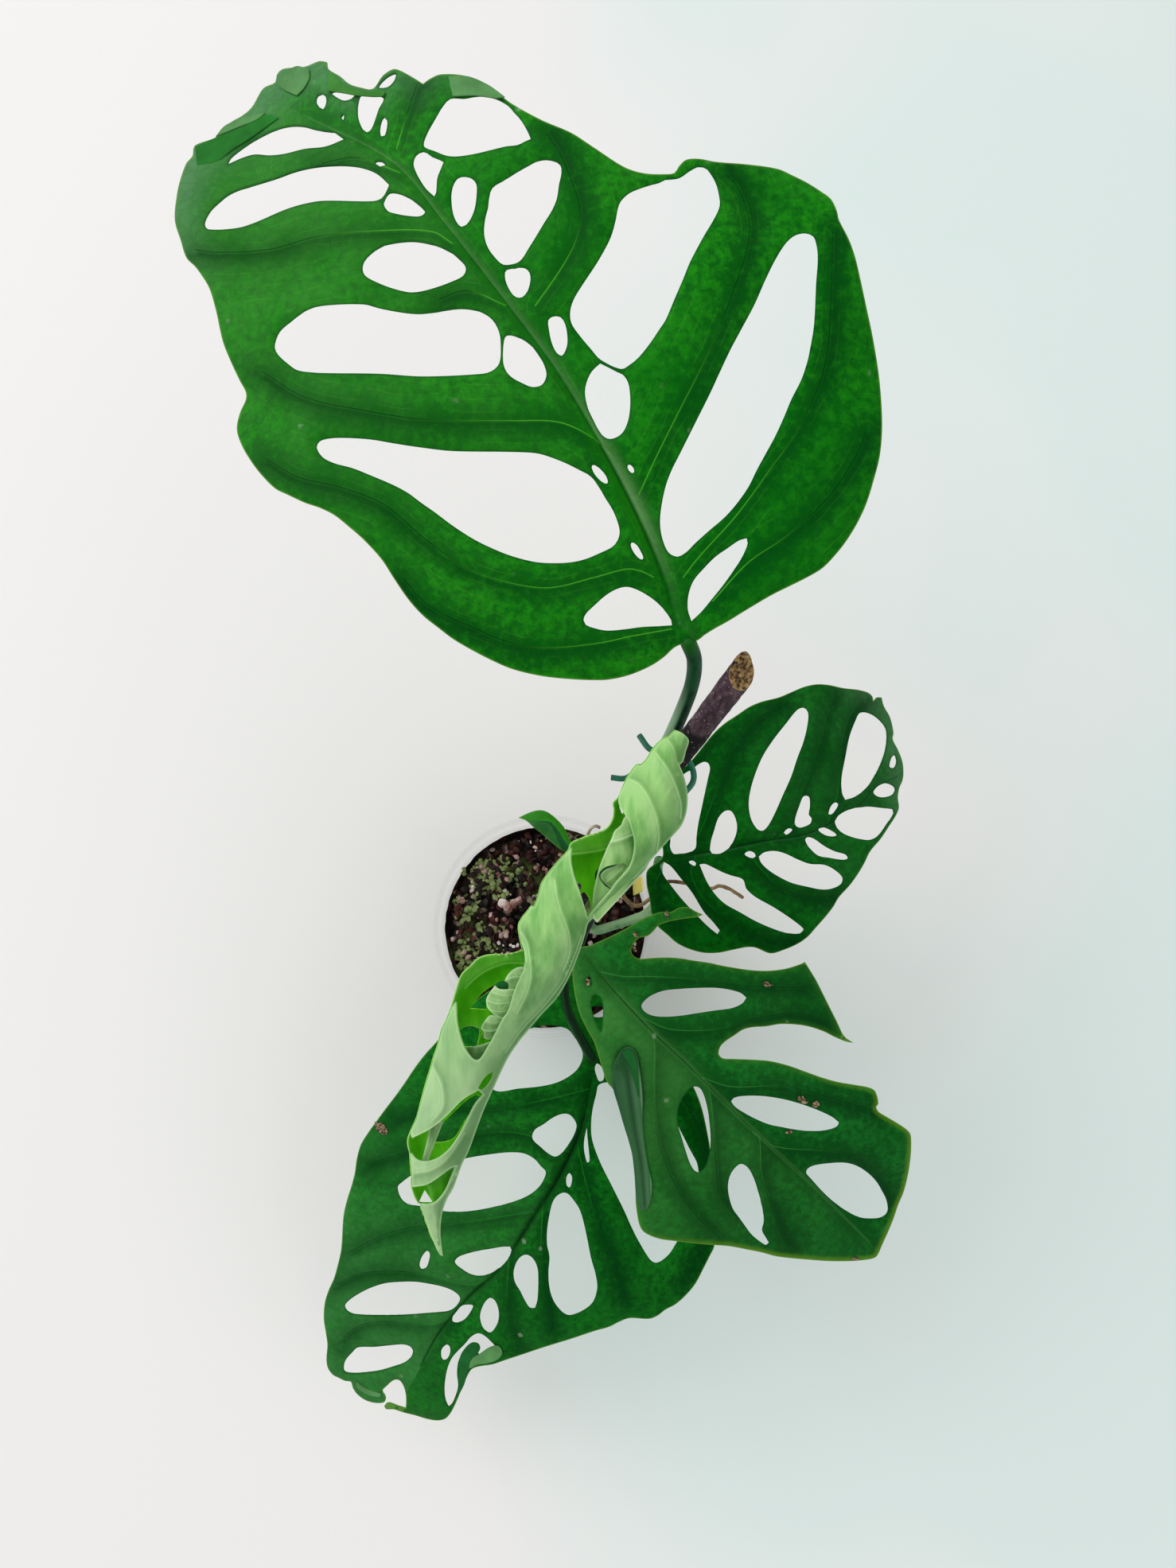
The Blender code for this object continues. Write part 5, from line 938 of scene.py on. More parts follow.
RIGHT_LEAF = {
    "slot": "leaf_dark", "base": (59.2, 27.7, 190.0), "axis": (0.95, 0.32), "length": 122.0,
    "arch": (34.0, -12.0, -34.0),
    "rise": 0.1, "droop": 0.0028, "swell": 1.2, "spacing": 1.5, "rib": 2.0,
    "dips": [(112, 45, 22, -8), (60, -44, 22, -4)],
    "midrib": [(6, 0), (30, 4), (50, 8), (72, 12), (96, 26)], "tip": [(102, 33), (113, 39)],
    "small_holes": [[(109.3, 43.6), (111.3, 43.2), (112.6, 46), (111.8, 49.3), (110.2, 48)]],
    "laterals": [
        [(10, 1), (18, 12), (26, 32), (34, 50), (44, 64), (58, 75)],
        [(3, 3), (1, 16), (5, 32), (12, 43), (26, 58)],
        [(55, 9), (63, 16), (68, 34), (76, 52), (80, 68), (84, 79)],
        [(80, 18), (84, 30), (86, 46), (90, 66), (97, 76)],
        [(40, 5), (48, -6), (60, -16), (75, -19), (84, -18)],
        [(16, 1), (14, -8), (22, -22), (36, -32), (50, -39), (66, -40)],
        [(3, -1), (-3, -12), (-2, -24), (6, -34)]]}

LOWER_RIGHT_LEAF = {
    "slot": "leaf_lower", "base": (19.4, -15.4, 235.0), "axis": (0.7, -0.714), "length": 185.0,
    "arch": (40.0, -20.0, -50.0), "rise": 0.12, "droop": 0.0017, "swell": 1.2, "spacing": 1.6, "rib": 2.6,
    "ovals": [(4.6, -16, 2.0, 0.8, 90)],
    "dips": [(110, -30, 25, -6), (18, -95, 22, -7), (140, -110, 25, -7), (52, 14, 16, -4)],
    "midrib": [(4, -6), (10, -14), (22, -27.5), (34, -40), (46, -51), (58, -63), (72, -77), (88, -92),
               (103, -106), (118, -121)], "tip": [(127, -130)],
    "laterals": [
        [(10, -12), (20, -14), (30, -14), (50, -15), (70, -18), (100, -19)],
        [(28, -32), (40, -37), (60, -37), (75, -33), (95, -30), (110, -34)],
        [(54, -58), (66, -62), (90, -62), (110, -67), (130, -73)],
        [(77, -82), (85, -88), (105, -90), (120, -92), (133, -103), (137, -113)],
        [(30, -36), (33, -42), (33, -60), (34, -80), (38, -95), (45, -110), (55, -122), (62, -128)],
        [(52, -57), (57, -63), (60, -95), (62, -110), (70, -120)],
        [(76, -82), (79, -85), (80, -100), (88, -125), (92, -133)]]}

LOWER_LEFT_LEAF = {
    "slot": "leaf_lower", "base": (27.2, -71.5, 150.0), "axis": (-0.56, -0.83), "length": 195.0,
    "arch": (46.0, -24.0, -62.0), "rise": 0.1, "droop": 0.0012, "swell": 1.3, "spacing": 1.8, "rib": 3.0,
    "dips": [(-110, -165, 20, -7), (40, -115, 25, -5), (-135, -125, 20, -4)],
    "midrib": [(-2, -9), (-5, -24), (-9, -37), (-18, -56), (-28, -72), (-48, -102), (-63, -116), (-78, -134),
               (-86, -148)],
    "small_holes": [[(-4.2, -31.5), (-5.5, -38), (-5.5, -43), (-4, -49), (-2.9, -48.5), (-3.2, -43),
                     (-3.9, -36)],
                    [(-2, 28.5), (4.5, 28.5), (4.6, 24.2), (-1.8, 24.2)]],
    "laterals": [
        [(-3, -12), (-22, -17), (-50, -22), (-80, -22), (-100, -28)],
        [(-12, -44), (-40, -34), (-70, -37), (-98, -45), (-115, -50)],
        [(-30, -73), (-60, -78), (-95, -82), (-110, -87), (-125, -95)],
        [(-52, -106), (-62, -110), (-90, -104), (-115, -104), (-130, -110)],
        [(-68, -123), (-80, -129.5), (-110, -128.5), (-122, -133), (-128, -140)],
        [(-1, -5), (14, 0), (35, -8), (50, -32), (56, -60), (52, -92), (42, -110)],
        [(-9, -40), (-4, -62), (3, -86), (10, -104), (14, -120)],
        [(-26, -68), (-27, -90), (-25, -112), (-22, -134)],
        [(-43, -95), (-44, -112), (-43, -128), (-38, -142)]]}

SMALL_LEAF = {
    "slot": "leaf_lower", "base": (21.9, 28.9, 135.0), "axis": (-0.8, 0.6), "length": 42.0,
    "arch": (14.0, 0.0, -12.0), "rise": -0.45, "droop": 0.0, "swell": 0.3, "spacing": 1.0, "rib": 6.0,
    "dips": [], "laterals": [], "midrib": [(-4, 5.5), (-11, 15), (-14, 20), (-18, 24), (-24, 24.6)]}

# Colours across a midrib, from two of its half widths on its lit side to two on its shaded one: each has its
# place, its colour and its strength. They are painted sheen and painted shade: a pale sheen beside the crease,
# a dark line in it, and on the small leaf and the curled margin lighter and darker sides as the light falls.
BIG_FOLD = [(-1.7, "#2c6a28", 0.0), (-1.1, "#3f7a38", 0.2), (-0.5, "#5f8f54", 0.6), (-0.2, "#6c9a62", 0.8),
            (-0.05, "#3f7a3a", 0.7), (0.05, "#0b4a10", 0.85), (0.25, "#1b7a0c", 0.7), (1.3, "#0f6a0a", 0.0)]
DARK_FOLD = [(-1.2, "#03350a", 0.0), (-0.2, "#06400c", 0.8), (0.0, "#02240a", 0.9), (0.3, "#2f6a3c", 0.5),
             (1.2, "#1a5a24", 0.0)]
LOWER_FOLD = [(-1.3, "#2f7030", 0.0), (-0.3, "#437f3f", 0.6), (0.0, "#07380f", 0.9), (0.25, "#3f7f3a", 0.7),
              (1.3, "#2a6a2c", 0.0)]
LEFT_FOLD = [(-1.3, "#06330e", 0.0), (-0.4, "#05300e", 0.8), (0.0, "#022208", 0.95), (0.4, "#06380f", 0.8),
             (1.3, "#0a4a14", 0.0)]
SMALL_FOLD = [(-2.0, "#2a8008", 0.8), (-0.08, "#2f9408", 0.9), (0.0, "#4f9a40", 0.95), (0.1, "#1f6038", 0.95),
              (0.9, "#0c4420", 0.95), (1.3, "#2f6c34", 0.9), (2.0, "#2c6230", 0.9)]
STRIP_FOLD = [(-1.3, "#12381c", 1.0), (-1.0, "#2e5a38", 1.0), (-0.4, "#386640", 0.9), (0.0, "#1f4628", 0.9),
              (0.45, "#4a7850", 0.9), (0.8, "#3a6a42", 0.9), (0.95, "#76a078", 0.9), (1.15, "#0c4416", 0.9)]
big_upper = blade_look("big_leaf_upper", "#015c0c", "#1c8c0e", "#3c8632", "#4fa82c", BIG_FOLD, 0.03,
                       (0.1, 0.65), (0.35, 1.0), 0.4, haze=0.65)
dark_upper = blade_look("right_leaf_upper", "#004808", "#067010", "#3a7644", "#107818", DARK_FOLD, 0.02,
                        (0.05, 0.3), haze=0.45)
lower_upper = blade_look("lower_leaf_upper", "#014c12", "#127222", "#3f7f38", "#337f34", LOWER_FOLD, 0.04,
                         (0.8, 0.1), (0.2, 1.0), 0.8, 0.6)
left_upper = blade_look("lower_left_leaf_upper", "#00460c", "#0f7616", "#3c8440", "#1f7a20", LEFT_FOLD, 0.02,
                        (0.1, 0.75), (1.0, 0.25))
small_upper = blade_look("small_leaf_upper", "#155c1c", "#3f9a20", "#2f7a30", "#69b046", SMALL_FOLD, 0.1)
curled_margin = blade_look("curled_margin", "#1c4a24", "#30623a", "#48724a", "#5f8a60", STRIP_FOLD, 0.1,
                           rim="#3f6c48")
# Painted shade: a darker green for a fold on the big leaf that turns from the light.
turned_tip = under_look("painted_shade_leaf_fold", "#1c6420", "#2c7234")
leaf_under = under_look("leaf_underside", "#34702a", "#7fa36c")
pale_under = under_look("pale_leaf_underside", "#4c7c48", "#97b684")
# Painted shade: a dark green for slopes and hollows that lie in shade.
dark_slope = under_look("shaded_leaf_slope", "#165624", "#24663a")

# A dried scar is brown and papery, mottled and quite matt.
dead_skin, add, spot = new_look("dried_leaf_scar")
mottle = add("TexNoise", {"Vector": spot, "Scale": sized(1.111), "Detail": 3.0})
tan = add("ValToRGB", {"Fac": mottle}, stops=[(0.38, "#2c2014"), (0.5, "#66543a"), (0.62, "#a48c74")])
flaky = add("Bump", {"Height": mottle, "Strength": 0.4, "Distance": 0.0004})
add("Principled BSDF", {"Base Color": tan, "Roughness": 0.9, "Normal": flaky})

grow_leaf("leaf_big", BIG_LEAF, big_upper)
grow_leaf("leaf_right", RIGHT_LEAF, dark_upper)
grow_leaf("leaf_lower_right", LOWER_RIGHT_LEAF, lower_upper)
grow_leaf("leaf_lower_left", LOWER_LEFT_LEAF, left_upper)
grow_leaf("leaf_small", SMALL_LEAF, small_upper)

# Where a margin has folded back, the paler underside shows. Where a fold or slope turns from the light, a darker
# sheet laid over the blade is painted shade.
for name, leaf, top, lift, curl, outline in (
        ("big_leaf_turned_tip", BIG_LEAF, pale_under, 1.0, 0.3, [
            (-139.6, 188.1), (-137, 190.5), (-132.9, 193), (-128.8, 192), (-128.6, 189.1), (-130.5, 185.5),
            (-132.9, 183.1), (-137.6, 185.4)]),
        ("big_leaf_dark_slope", BIG_LEAF, turned_tip, 0.4, 0.0, [
            (-167.1, 165.8), (-161.1, 168.4), (-150, 173), (-143, 176.6), (-139, 175.5), (-146, 170.5),
            (-155, 164.5), (-160, 160.7), (-164, 159.8), (-166.5, 159.7)]),
        ("big_leaf_pale_margin", BIG_LEAF, pale_under, 0.8, 0.0, [
            (-160.1, 169.3), (-157.1, 172.8), (-151, 175.5), (-143.6, 177.2), (-146.3, 175), (-152.4, 172.5)]),
        ("big_leaf_turned_lobe", BIG_LEAF, leaf_under, 0.5, 0.0, [
            (-121.8, 191.4), (-116.7, 186.9), (-110.6, 184.5), (-102.8, 184.5), (-103.8, 182.9), (-112, 183.1),
            (-116.7, 183.9), (-122.4, 184.7)]),
        ("big_leaf_turned_edge", BIG_LEAF, pale_under, 0.5, 0.0, [
            (-81.5, 189.6), (-75, 189.6), (-68, 186.7), (-62.4, 182.7), (-66, 182.3), (-72, 183.2),
            (-80, 183)]),
        ("lower_leaf_curl_shade", LOWER_RIGHT_LEAF, dark_slope, 1.7, 0.0, [
            (19, -47), (22, -45.4), (24.2, -47.5), (25.6, -53), (26.4, -60), (26.5, -67), (24.5, -60),
            (22.5, -53), (20.5, -50)]),
        ("lower_left_curled_piece", LOWER_LEFT_LEAF, dark_slope, 0.8, 0.0, [
            (-67.5, -146), (-64.8, -141.5), (-61.5, -139), (-58.5, -139.5), (-57.5, -142), (-59.5, -145.5),
            (-62, -148.5), (-63.5, -153), (-65.5, -160), (-67.5, -164), (-68.5, -162), (-67.8, -153)]),
        ("lower_left_pale_curl", LOWER_LEFT_LEAF, pale_under, 1.4, 0.0, [
            (-61, -146.5), (-57.5, -144.5), (-54, -142), (-50, -140.5), (-47.5, -141.5), (-46.5, -144.5),
            (-49, -147.5), (-54, -149.2), (-59, -150), (-63, -152), (-62.5, -149)]),
        ("lower_left_pale_margin", LOWER_LEFT_LEAF, pale_under, 0.8, 0.0, [
            (-119, -158.5), (-116, -161), (-112, -163), (-107, -164.5), (-107.5, -166), (-112, -165.5),
            (-117, -163), (-119.5, -160.5)])):
    flap(name, leaf, outline, [top, leaf_under], lift, curl)
# The curled margin shows its grey-green underside, with its rounding painted across it in painted sheen and
# painted shade.
flap("lower_leaf_curled_margin", LOWER_RIGHT_LEAF, [
    (15.2, -53), (15, -62), (17.2, -70), (20.1, -80), (23.1, -90), (24.4, -100), (25.2, -110), (27, -116),
    (28.5, -116.5), (30.5, -114.5), (31.8, -110), (32, -104), (30.5, -97), (29, -88), (28, -78), (28, -67),
    (27.5, -60), (26.5, -53), (25, -47), (22, -44.7), (19, -46), (17, -49)], [curled_margin, curled_margin],
     0.8, 0.4, [([(20, -48), (22, -62), (24.5, -80), (27.3, -95), (28.6, -108), (29, -114)], 6.0, 3.2)])

# Dried scars with ragged edges: middle, half length, half width and lean.
SCARS = [(4, -16.5, 0.9, 1.6, 0), (82.5, -17.5, 2.2, 1.0, -20), (98, -68, 2.6, 1.2, -30),
         (103.5, -70, 1.6, 1.2, 10), (92, -82, 1.6, 0.7, 15), (121, -137.5, 1.3, 0.8, 0),
         (25, 4.2, 1.5, 0.8, -40), (24.5, -2, 1.4, 0.7, -60), (38.5, 13, 0.7, 1.7, 0)]
TORN_NOTCH = (-107, -32, 2.2, 4.2, 35)
for name, leaf, scar in [
        *[(f"lower_leaf_scar_{number + 1}", LOWER_RIGHT_LEAF, scar) for number, scar in enumerate(SCARS)],
        ("lower_left_torn_notch", LOWER_LEFT_LEAF, TORN_NOTCH)]:
    outline = oval(*scar, 14, lambda turn: 1.0 + 0.5 * noise.noise(Vector((
        2.0 * math.cos(turn), 2.0 * math.sin(turn), scar[0]))))
    flap(name, leaf, outline, [dead_skin, leaf_under], 0.5)


# New leaf: the youngest blade, still rolled round itself in a loose screw and thinner and paler than the rest.
# Its back shows outside, a matt pale green with lifted veins, and its glossy bright face shows inside the gaps.
ROLL_BASE = (54.0, 43.8, 390.0)
ROLL_ALONG = Vector((-0.4227, -0.9063))
ROLL_ACROSS = Vector((0.9063, -0.4227))
ROLL_LENGTH = 181.3
ROLL_DROP = 77.0
STATIONS = 182
RIGHT_SIDE = [
    (-2.7, 1.7), (0.5, 0), (1.5, -1.5), (0.5, -5), (-0.3, -8), (-1.5, -9.2), (-0.5, -11.5), (0.3, -14),
    (1, -17.5), (1.1, -21), (0.5, -25), (-1, -28.5), (-4, -32), (-8.1, -36.5), (-12, -41), (-16.6, -46),
    (-19.8, -49.5), (-24, -53.5), (-27, -56.5), (-30.2, -59), (-31.2, -62.5), (-33, -68), (-36, -75.5),
    (-40, -82.5), (-45, -88),
    (-49, -92.7), (-52.5, -97), (-55.5, -101.5), (-58, -106.5), (-60.5, -112), (-63, -117.5), (-65.5, -124),
    (-68, -131), (-70, -135), (-71.5, -139), (-73, -143), (-75, -146.5), (-76.5, -151), (-77, -156),
    (-76.8, -160), (-76.2, -164.5)]
TIP_SIDE = [(-77.5, -163.5), (-79.5, -159), (-82, -152), (-83.5, -148)]
GAP_FOUR = [(-80, -148), (-78, -147), (-75.5, -144), (-73.5, -139.5), (-72, -136), (-74, -136.8), (-79, -140.5),
            (-82, -142)]
LOW_BAND = [(-86, -142.5), (-86, -139), (-86.3, -135), (-86.5, -132)]
GAP_THREE = [(-84, -134.3), (-79.5, -134.2), (-75, -131.5), (-71.5, -127), (-68.5, -121.5), (-66, -116.5),
             (-63.5, -113.5), (-65, -112), (-70, -115), (-75, -120), (-80, -124)]
LOW_SIDE = [(-86, -127), (-86.5, -125.5), (-84.5, -121), (-83, -115.5), (-81.5, -110), (-80, -105),
            (-79, -101.5), (-77.8, -98), (-76.5, -93), (-75.5, -91), (-73.5, -86)]
GAP_TWO = [(-72.3, -84), (-71.8, -91), (-70, -97.5), (-68, -100.8), (-66, -102.6), (-64.5, -102.3),
           (-62, -98.5),
           (-60, -95), (-57.5, -90), (-55.5, -87), (-54, -82), (-52.5, -78), (-50.5, -73), (-50.5, -68.5)]
MIDDLE_SIDE = [(-51.5, -65), (-52.2, -60), (-51, -57.5), (-49, -55), (-48.5, -53.8), (-47.3, -54), (-46, -51),
               (-45.3, -48), (-44.5, -46), (-42, -42.5), (-39, -39), (-36.5, -36.3)]
GAP_ONE = [(-35.8, -35), (-36, -39), (-35, -44), (-34.3, -46), (-33, -49.5), (-31.5, -54), (-30.5, -57.5),
           (-29, -55.5), (-24, -50), (-21, -46), (-17.5, -42), (-16, -38), (-15.7, -34), (-16.3, -31),
           (-17.5, -27), (-19, -24.5), (-20.5, -22)]
TOP_SIDE = [(-20.8, -19.8), (-18.5, -14.5), (-17, -12), (-15, -9.3), (-13.5, -9.2), (-11.5, -7), (-10, -4.5),
            (-7, -1.2), (-5, -0.5), (-3, 1.5)]
FAR_SIDE = [*TIP_SIDE, (-84.5, -146.5), *LOW_BAND, (-86.8, -131), (-87.2, -128), *LOW_SIDE[1:],
            (-72.3, -82), (-71.3, -78.5), (-70, -75.3), (-67.5, -73), (-65, -70.5), (-61.5, -69.4),
            (-56, -69.2),
            (-51, -68), *MIDDLE_SIDE, (-35.5, -34), (-33.5, -33), (-30, -31.7), (-27, -30.8), (-24, -29),
            (-22.3, -26), (-22, -23), (-22.3, -21.2), *TOP_SIDE]

roll_outline = [Vector(point) for point in RIGHT_SIDE + FAR_SIDE]
roll_stations = []
for station in range(STATIONS):
    crossing = []
    for start, end in zip(roll_outline, roll_outline[1:] + roll_outline[:1]):
        first, last = start.dot(ROLL_ALONG), end.dot(ROLL_ALONG)
        if (first > station) != (last > station):
            part = (station - first) / (last - first)
            crossing.append(start.lerp(end, part).dot(ROLL_ACROSS))
    roll_stations.append((min(crossing), max(crossing)) if crossing else (-0.5, 0.5))


def roll_section(along):
    """Middle and half width of the roll at a distance from its top, evened out over a few millimetres."""
    near = [roll_stations[min(STATIONS - 1, max(0, round(along) + shift))] for shift in (-2, 0, 2)]
    low = sum(low for low, _ in near) / 3
    high = sum(high for _, high in near) / 3
    return (low + high) / 2, max(0.6, (high - low) / 2)


def roll_relief(x, y, side=1.0):
    """Relief of the roll's wall, on its near side (1) or towards its far side (-1)."""
    along = x * ROLL_ALONG.x + y * ROLL_ALONG.y
    across = x * ROLL_ACROSS.x + y * ROLL_ACROSS.y
    middle, half = roll_section(along)
    depth = max(0.0, 1.0 - ((across - middle) / half) ** 2) ** 0.7 * half * (1.0 + 0.2 * along / ROLL_LENGTH)
    return -ROLL_DROP * along / ROLL_LENGTH + side * depth


def roll_look(name, deep, light, shade, vein, rim, rough, faded=0.0, glow=0.0):
    """The skin of the new leaf: thin, matt and finely lined, and lighter at its lifted veins and its margin.
    Painted light lies on the lit side of a vein, and painted shade on its far side and on the roll's right flank.
    Faded is how pale it is towards its tip, and glow how much light comes through it."""
    look, add, spot = new_look(name)
    off_vein, to_margin, slope = [add("Attribute", {}, "Fac", attribute_name=title)
                                  for title in ("off_rib", "margin_distance", "rib_shade")]
    lengthways = add("Mapping", {"Vector": spot, "Rotation": (0.0, 0.0, -0.45), "Scale": (1.0, 0.22, 0.5)})
    streak = add("TexNoise", {"Vector": lengthways, "Scale": sized(3.03), "Detail": 4.0})
    broad = add("TexNoise", {"Vector": spot, "Scale": sized(22.22), "Detail": 2.0})
    upward = add("SeparateXYZ", {"Vector": spot}, "Y")
    higher = add("MapRange", (upward, -0.01, 0.03, 0.0, 0.2))
    blend = add("Math", (streak, broad), operation="ADD")
    lifted = add("Math", (blend, higher), operation="ADD")
    facing = add("NewGeometry", {}, "Normal")
    rightward = add("VectorMath", (facing, (0.906, -0.416, -0.073)), "Value", operation="DOT_PRODUCT")
    skin = coat(add, deep, light, (lifted, 0.78, 1.22, 0.0, 1.0), easing="LINEAR")
    skin = coat(add, skin, "#a9c59b", (upward, -0.01, -0.07, 0.0, faded), easing="LINEAR")
    # Painted shade on the right flank, which turns from the light.
    skin = coat(add, skin, shade, (rightward, 0.2, 0.9, 0.0, 0.65))
    # Painted shade on the far side of each vein, and painted light on its lit side.
    skin = coat(add, skin, shade, (slope, 0.0, 1.0, 0.0, 0.75), easing="LINEAR")
    skin = coat(add, skin, vein, (slope, 0.0, -1.0, 0.0, 0.35), easing="LINEAR")
    skin = coat(add, skin, vein, (off_vein, 0.2, 0.9, 0.45, 0.0))
    skin = coat(add, skin, rim, (to_margin, 0.02, 0.07, 0.55, 0.0), easing="LINEAR")
    fine = add("Bump", {"Height": streak, "Strength": 0.25, "Distance": 0.0004})
    add("Principled BSDF", {"Base Color": skin, "Roughness": rough, "Specular IOR Level": 0.15, "Normal": fine,
                            "Subsurface Weight": glow, "Subsurface Radius": (1.0, 1.0, 0.4),
                            "Subsurface Scale": 0.0015})
    return look


# The back is matt and pale, and the face inside it glossier and brighter. Where light comes through it most,
# the face is painted brighter still, a painted glow added to the light it lets through.
roll_back = roll_look("new_leaf_back", "#60a44a", "#9ace7a", "#33702c", "#bfe0a8", "#b0d69a", 0.55, 0.6)
roll_face = roll_look("new_leaf_face", "#3c9a10", "#5fc424", "#1f6a08", "#8cc468", "#7fb868", 0.45)
roll_lit = roll_look("new_leaf_lit_from_outside", "#52b808", "#7ad828", "#3c9a08", "#c4e69c", "#86b070", 0.5,
                     glow=0.9)
roll_inner = roll_look("new_leaf_inner_turn", "#559640", "#a0cc82", "#2c6624", "#cfe8ba", "#cfe8ba", 0.5, 0.3)

FRONT_RIBS = [
    ([(-17, -14), (-14.5, -15.2), (-12, -18.5), (-10.5, -21.5), (-9, -25.5), (-8, -30), (-8.2, -34), (-9, -38)],
     0.5, 0.3),
    ([(-9, -5.5), (-6, -9.5), (-4, -13), (-2, -18), (-1, -22), (-1.2, -27)], 0.5, 0.4),
    ([(-5.5, -1), (-3.5, -4), (-2.5, -8), (-1.7, -9.2)], 0.25, 0.2),
    ([(-41, -45.5), (-40.5, -49), (-39.5, -54), (-38, -58), (-36.5, -62), (-36, -66), (-36.5, -70),
      (-38.5, -75)], 0.4, 0.25),
    ([(-32.4, -63), (-34.5, -69), (-38, -77), (-44, -85), (-51, -92.5), (-57, -101)], 0.3, 0.2),
    ([(-51.5, -62), (-49.5, -66), (-48.5, -76), (-50, -82), (-53, -88)], 0.4, 0.3),
    ([(-80, -104), (-77, -110), (-76.5, -117), (-80, -122)], 0.35, 0.2),
    ([(-85, -138), (-80, -137), (-75, -133.5), (-69, -125)], 0.35, 0.2)]


def near_wall(x, y, rib_distance, margin):
    """The outermost turn: its free margins stand a little off, and its veins are lifted."""
    relief = roll_relief(x, y)
    relief += 0.35 * math.exp(-(rib_distance / 0.9) ** 2)
    relief += 0.5 * noise.noise(Vector((x, y, 5.0)) / 9.0)
    return relief + 0.3 * math.exp(-margin / 1.2)


def far_wall(x, y, rib_distance, margin):
    """The same blade where it passes behind."""
    return roll_relief(x, y, side=-0.92) - 0.9 + 0.3 * noise.noise(Vector((x, y, 9.0)) / 8.0)


front = thin_sheet("new_leaf_near_side", ROLL_BASE, [
    [*RIGHT_SIDE, *TIP_SIDE, *GAP_FOUR, *LOW_BAND, *GAP_THREE, *LOW_SIDE, *GAP_TWO, *MIDDLE_SIDE, *GAP_ONE,
     *TOP_SIDE],
    [(-60, -106), (-62, -107), (-64, -109.3), (-65.1, -111.4), (-63.9, -112), (-62.2, -110.8),
     (-60.6, -108.4)]],
    FRONT_RIBS, near_wall, [roll_back, roll_face], 1.0, 0.5, 0.8, reach=2.2)
back = thin_sheet("new_leaf_far_side", ROLL_BASE, [
    [*[tuple(Vector(point) - 0.9 * ROLL_ACROSS) for point in RIGHT_SIDE], *FAR_SIDE],
    [(-67.8, -86.2), (-64, -81.5), (-60.5, -79), (-56.2, -77), (-57.3, -79.4), (-60, -79.2), (-61, -81.5),
     (-62.5, -84), (-62.5, -86.5)],
    [(-20.5, -22.3), (-19.3, -22.8), (-18.5, -25), (-19.6, -24.6)],
    [(-34.3, -46), (-32.5, -47), (-32.7, -48.5), (-33.5, -49)],
    [(-33, -50), (-31.6, -49.2), (-30.2, -51.2), (-29.4, -54), (-29.6, -56.6), (-31.2, -55.2), (-32.6, -52.5)],
    [(-71, -93), (-69.5, -92), (-67, -91.7), (-64.7, -92.5), (-64.9, -95), (-65.6, -98.3), (-69.3, -98.3)],
    [(-81, -126.5), (-75, -121), (-66.5, -113.5), (-64, -114), (-69, -121), (-73, -127), (-78.5, -128.5)],
    [(-82, -143.5), (-83.8, -147.3), (-79.5, -147.3)]],
    [([(-35.5, -37.3), (-30, -36.7), (-25, -35.7), (-20, -33)], 0.6, 0.5),
     ([(-50.5, -71.8), (-56, -71.8), (-60, -73), (-64, -75), (-67, -77.5), (-70, -80.5)], 0.5, 0.3),
     ([(-63.5, -93), (-65.7, -98)], 0.4, 0.3)],
    far_wall, [roll_lit, roll_back], 1.2, 0.5, 0.8, reach=2.5)
for piece in (front, back):
    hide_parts("leaf_new")


def inner_turn(name, outline, start, end, half, lift, look, holes=(), ribs=()):
    """A tighter turn inside the roll: a sheet curled round its own line from start to end, half as wide."""
    line_start, line_end = Vector(start), Vector(end)
    way = (line_end - line_start).normalized()

    def relief_at(x, y, rib_distance, margin):
        off = Vector((x, y)) - line_start
        across = off.x * way.y - off.y * way.x
        drop = ROLL_DROP * Vector((x, y)).dot(ROLL_ALONG) / ROLL_LENGTH
        bulge = half * math.sqrt(max(0.0, 1.0 - min(1.0, across / half) ** 2))
        return lift - drop + bulge + 0.4 * math.exp(-(rib_distance / 0.8) ** 2)

    made = thin_sheet(name, ROLL_BASE, [outline, *holes], list(ribs), relief_at, [look, roll_face], 0.8, 0.4,
                      0.6, reach=1.4)


inner_turn("inner_turn_upper", [
    (-18.7, -25.5), (-20, -28.2), (-22, -30), (-23, -32.5), (-24, -34.5), (-25.5, -38), (-27, -42), (-28, -46),
    (-28.8, -50), (-28.9, -54), (-28.8, -57.5), (-27.5, -59), (-22, -53), (-16, -46.5), (-11.5, -41),
    (-10, -34), (-12, -28), (-15, -24)], (-15, -26), (-27, -56), 7.6, -3.5, roll_inner,
    [[(-27, -43.5), (-25, -41.5), (-22, -40.7), (-19, -40.3), (-18, -41.5), (-19.5, -44), (-21, -46.5),
      (-23, -48.7), (-25, -47.5), (-26.7, -45.3)]],
    [([(-24.5, -33.6), (-20, -32.6), (-16, -31)], 0.7, 0.5)])
# A dark sheet under the hole is painted shade, for the hollow round the core.
inner_turn("inner_turn_painted_shade", [
    (-28.2, -43.5), (-25, -40.7), (-22, -39.8), (-18.5, -39.5), (-16.8, -41.5), (-19, -45.5), (-22.5, -50.4),
    (-26.5, -48.5)], (-19, -40), (-25, -54), 5.0, -8.0, dark_slope)
inner_turn("inner_turn_core", [
    (-26.5, -43.9), (-24.8, -42.2), (-22.2, -41.2), (-19, -39.7), (-16.9, -41), (-19, -45.5), (-21.7, -47.4),
    (-23.1, -48.1), (-24.7, -47), (-26.2, -45.3)], (-19, -40), (-25, -54), 5.0, -3.4, roll_inner, (),
    [([(-24.5, -46), (-22, -44), (-19.8, -42)], 0.3, 0.3)])
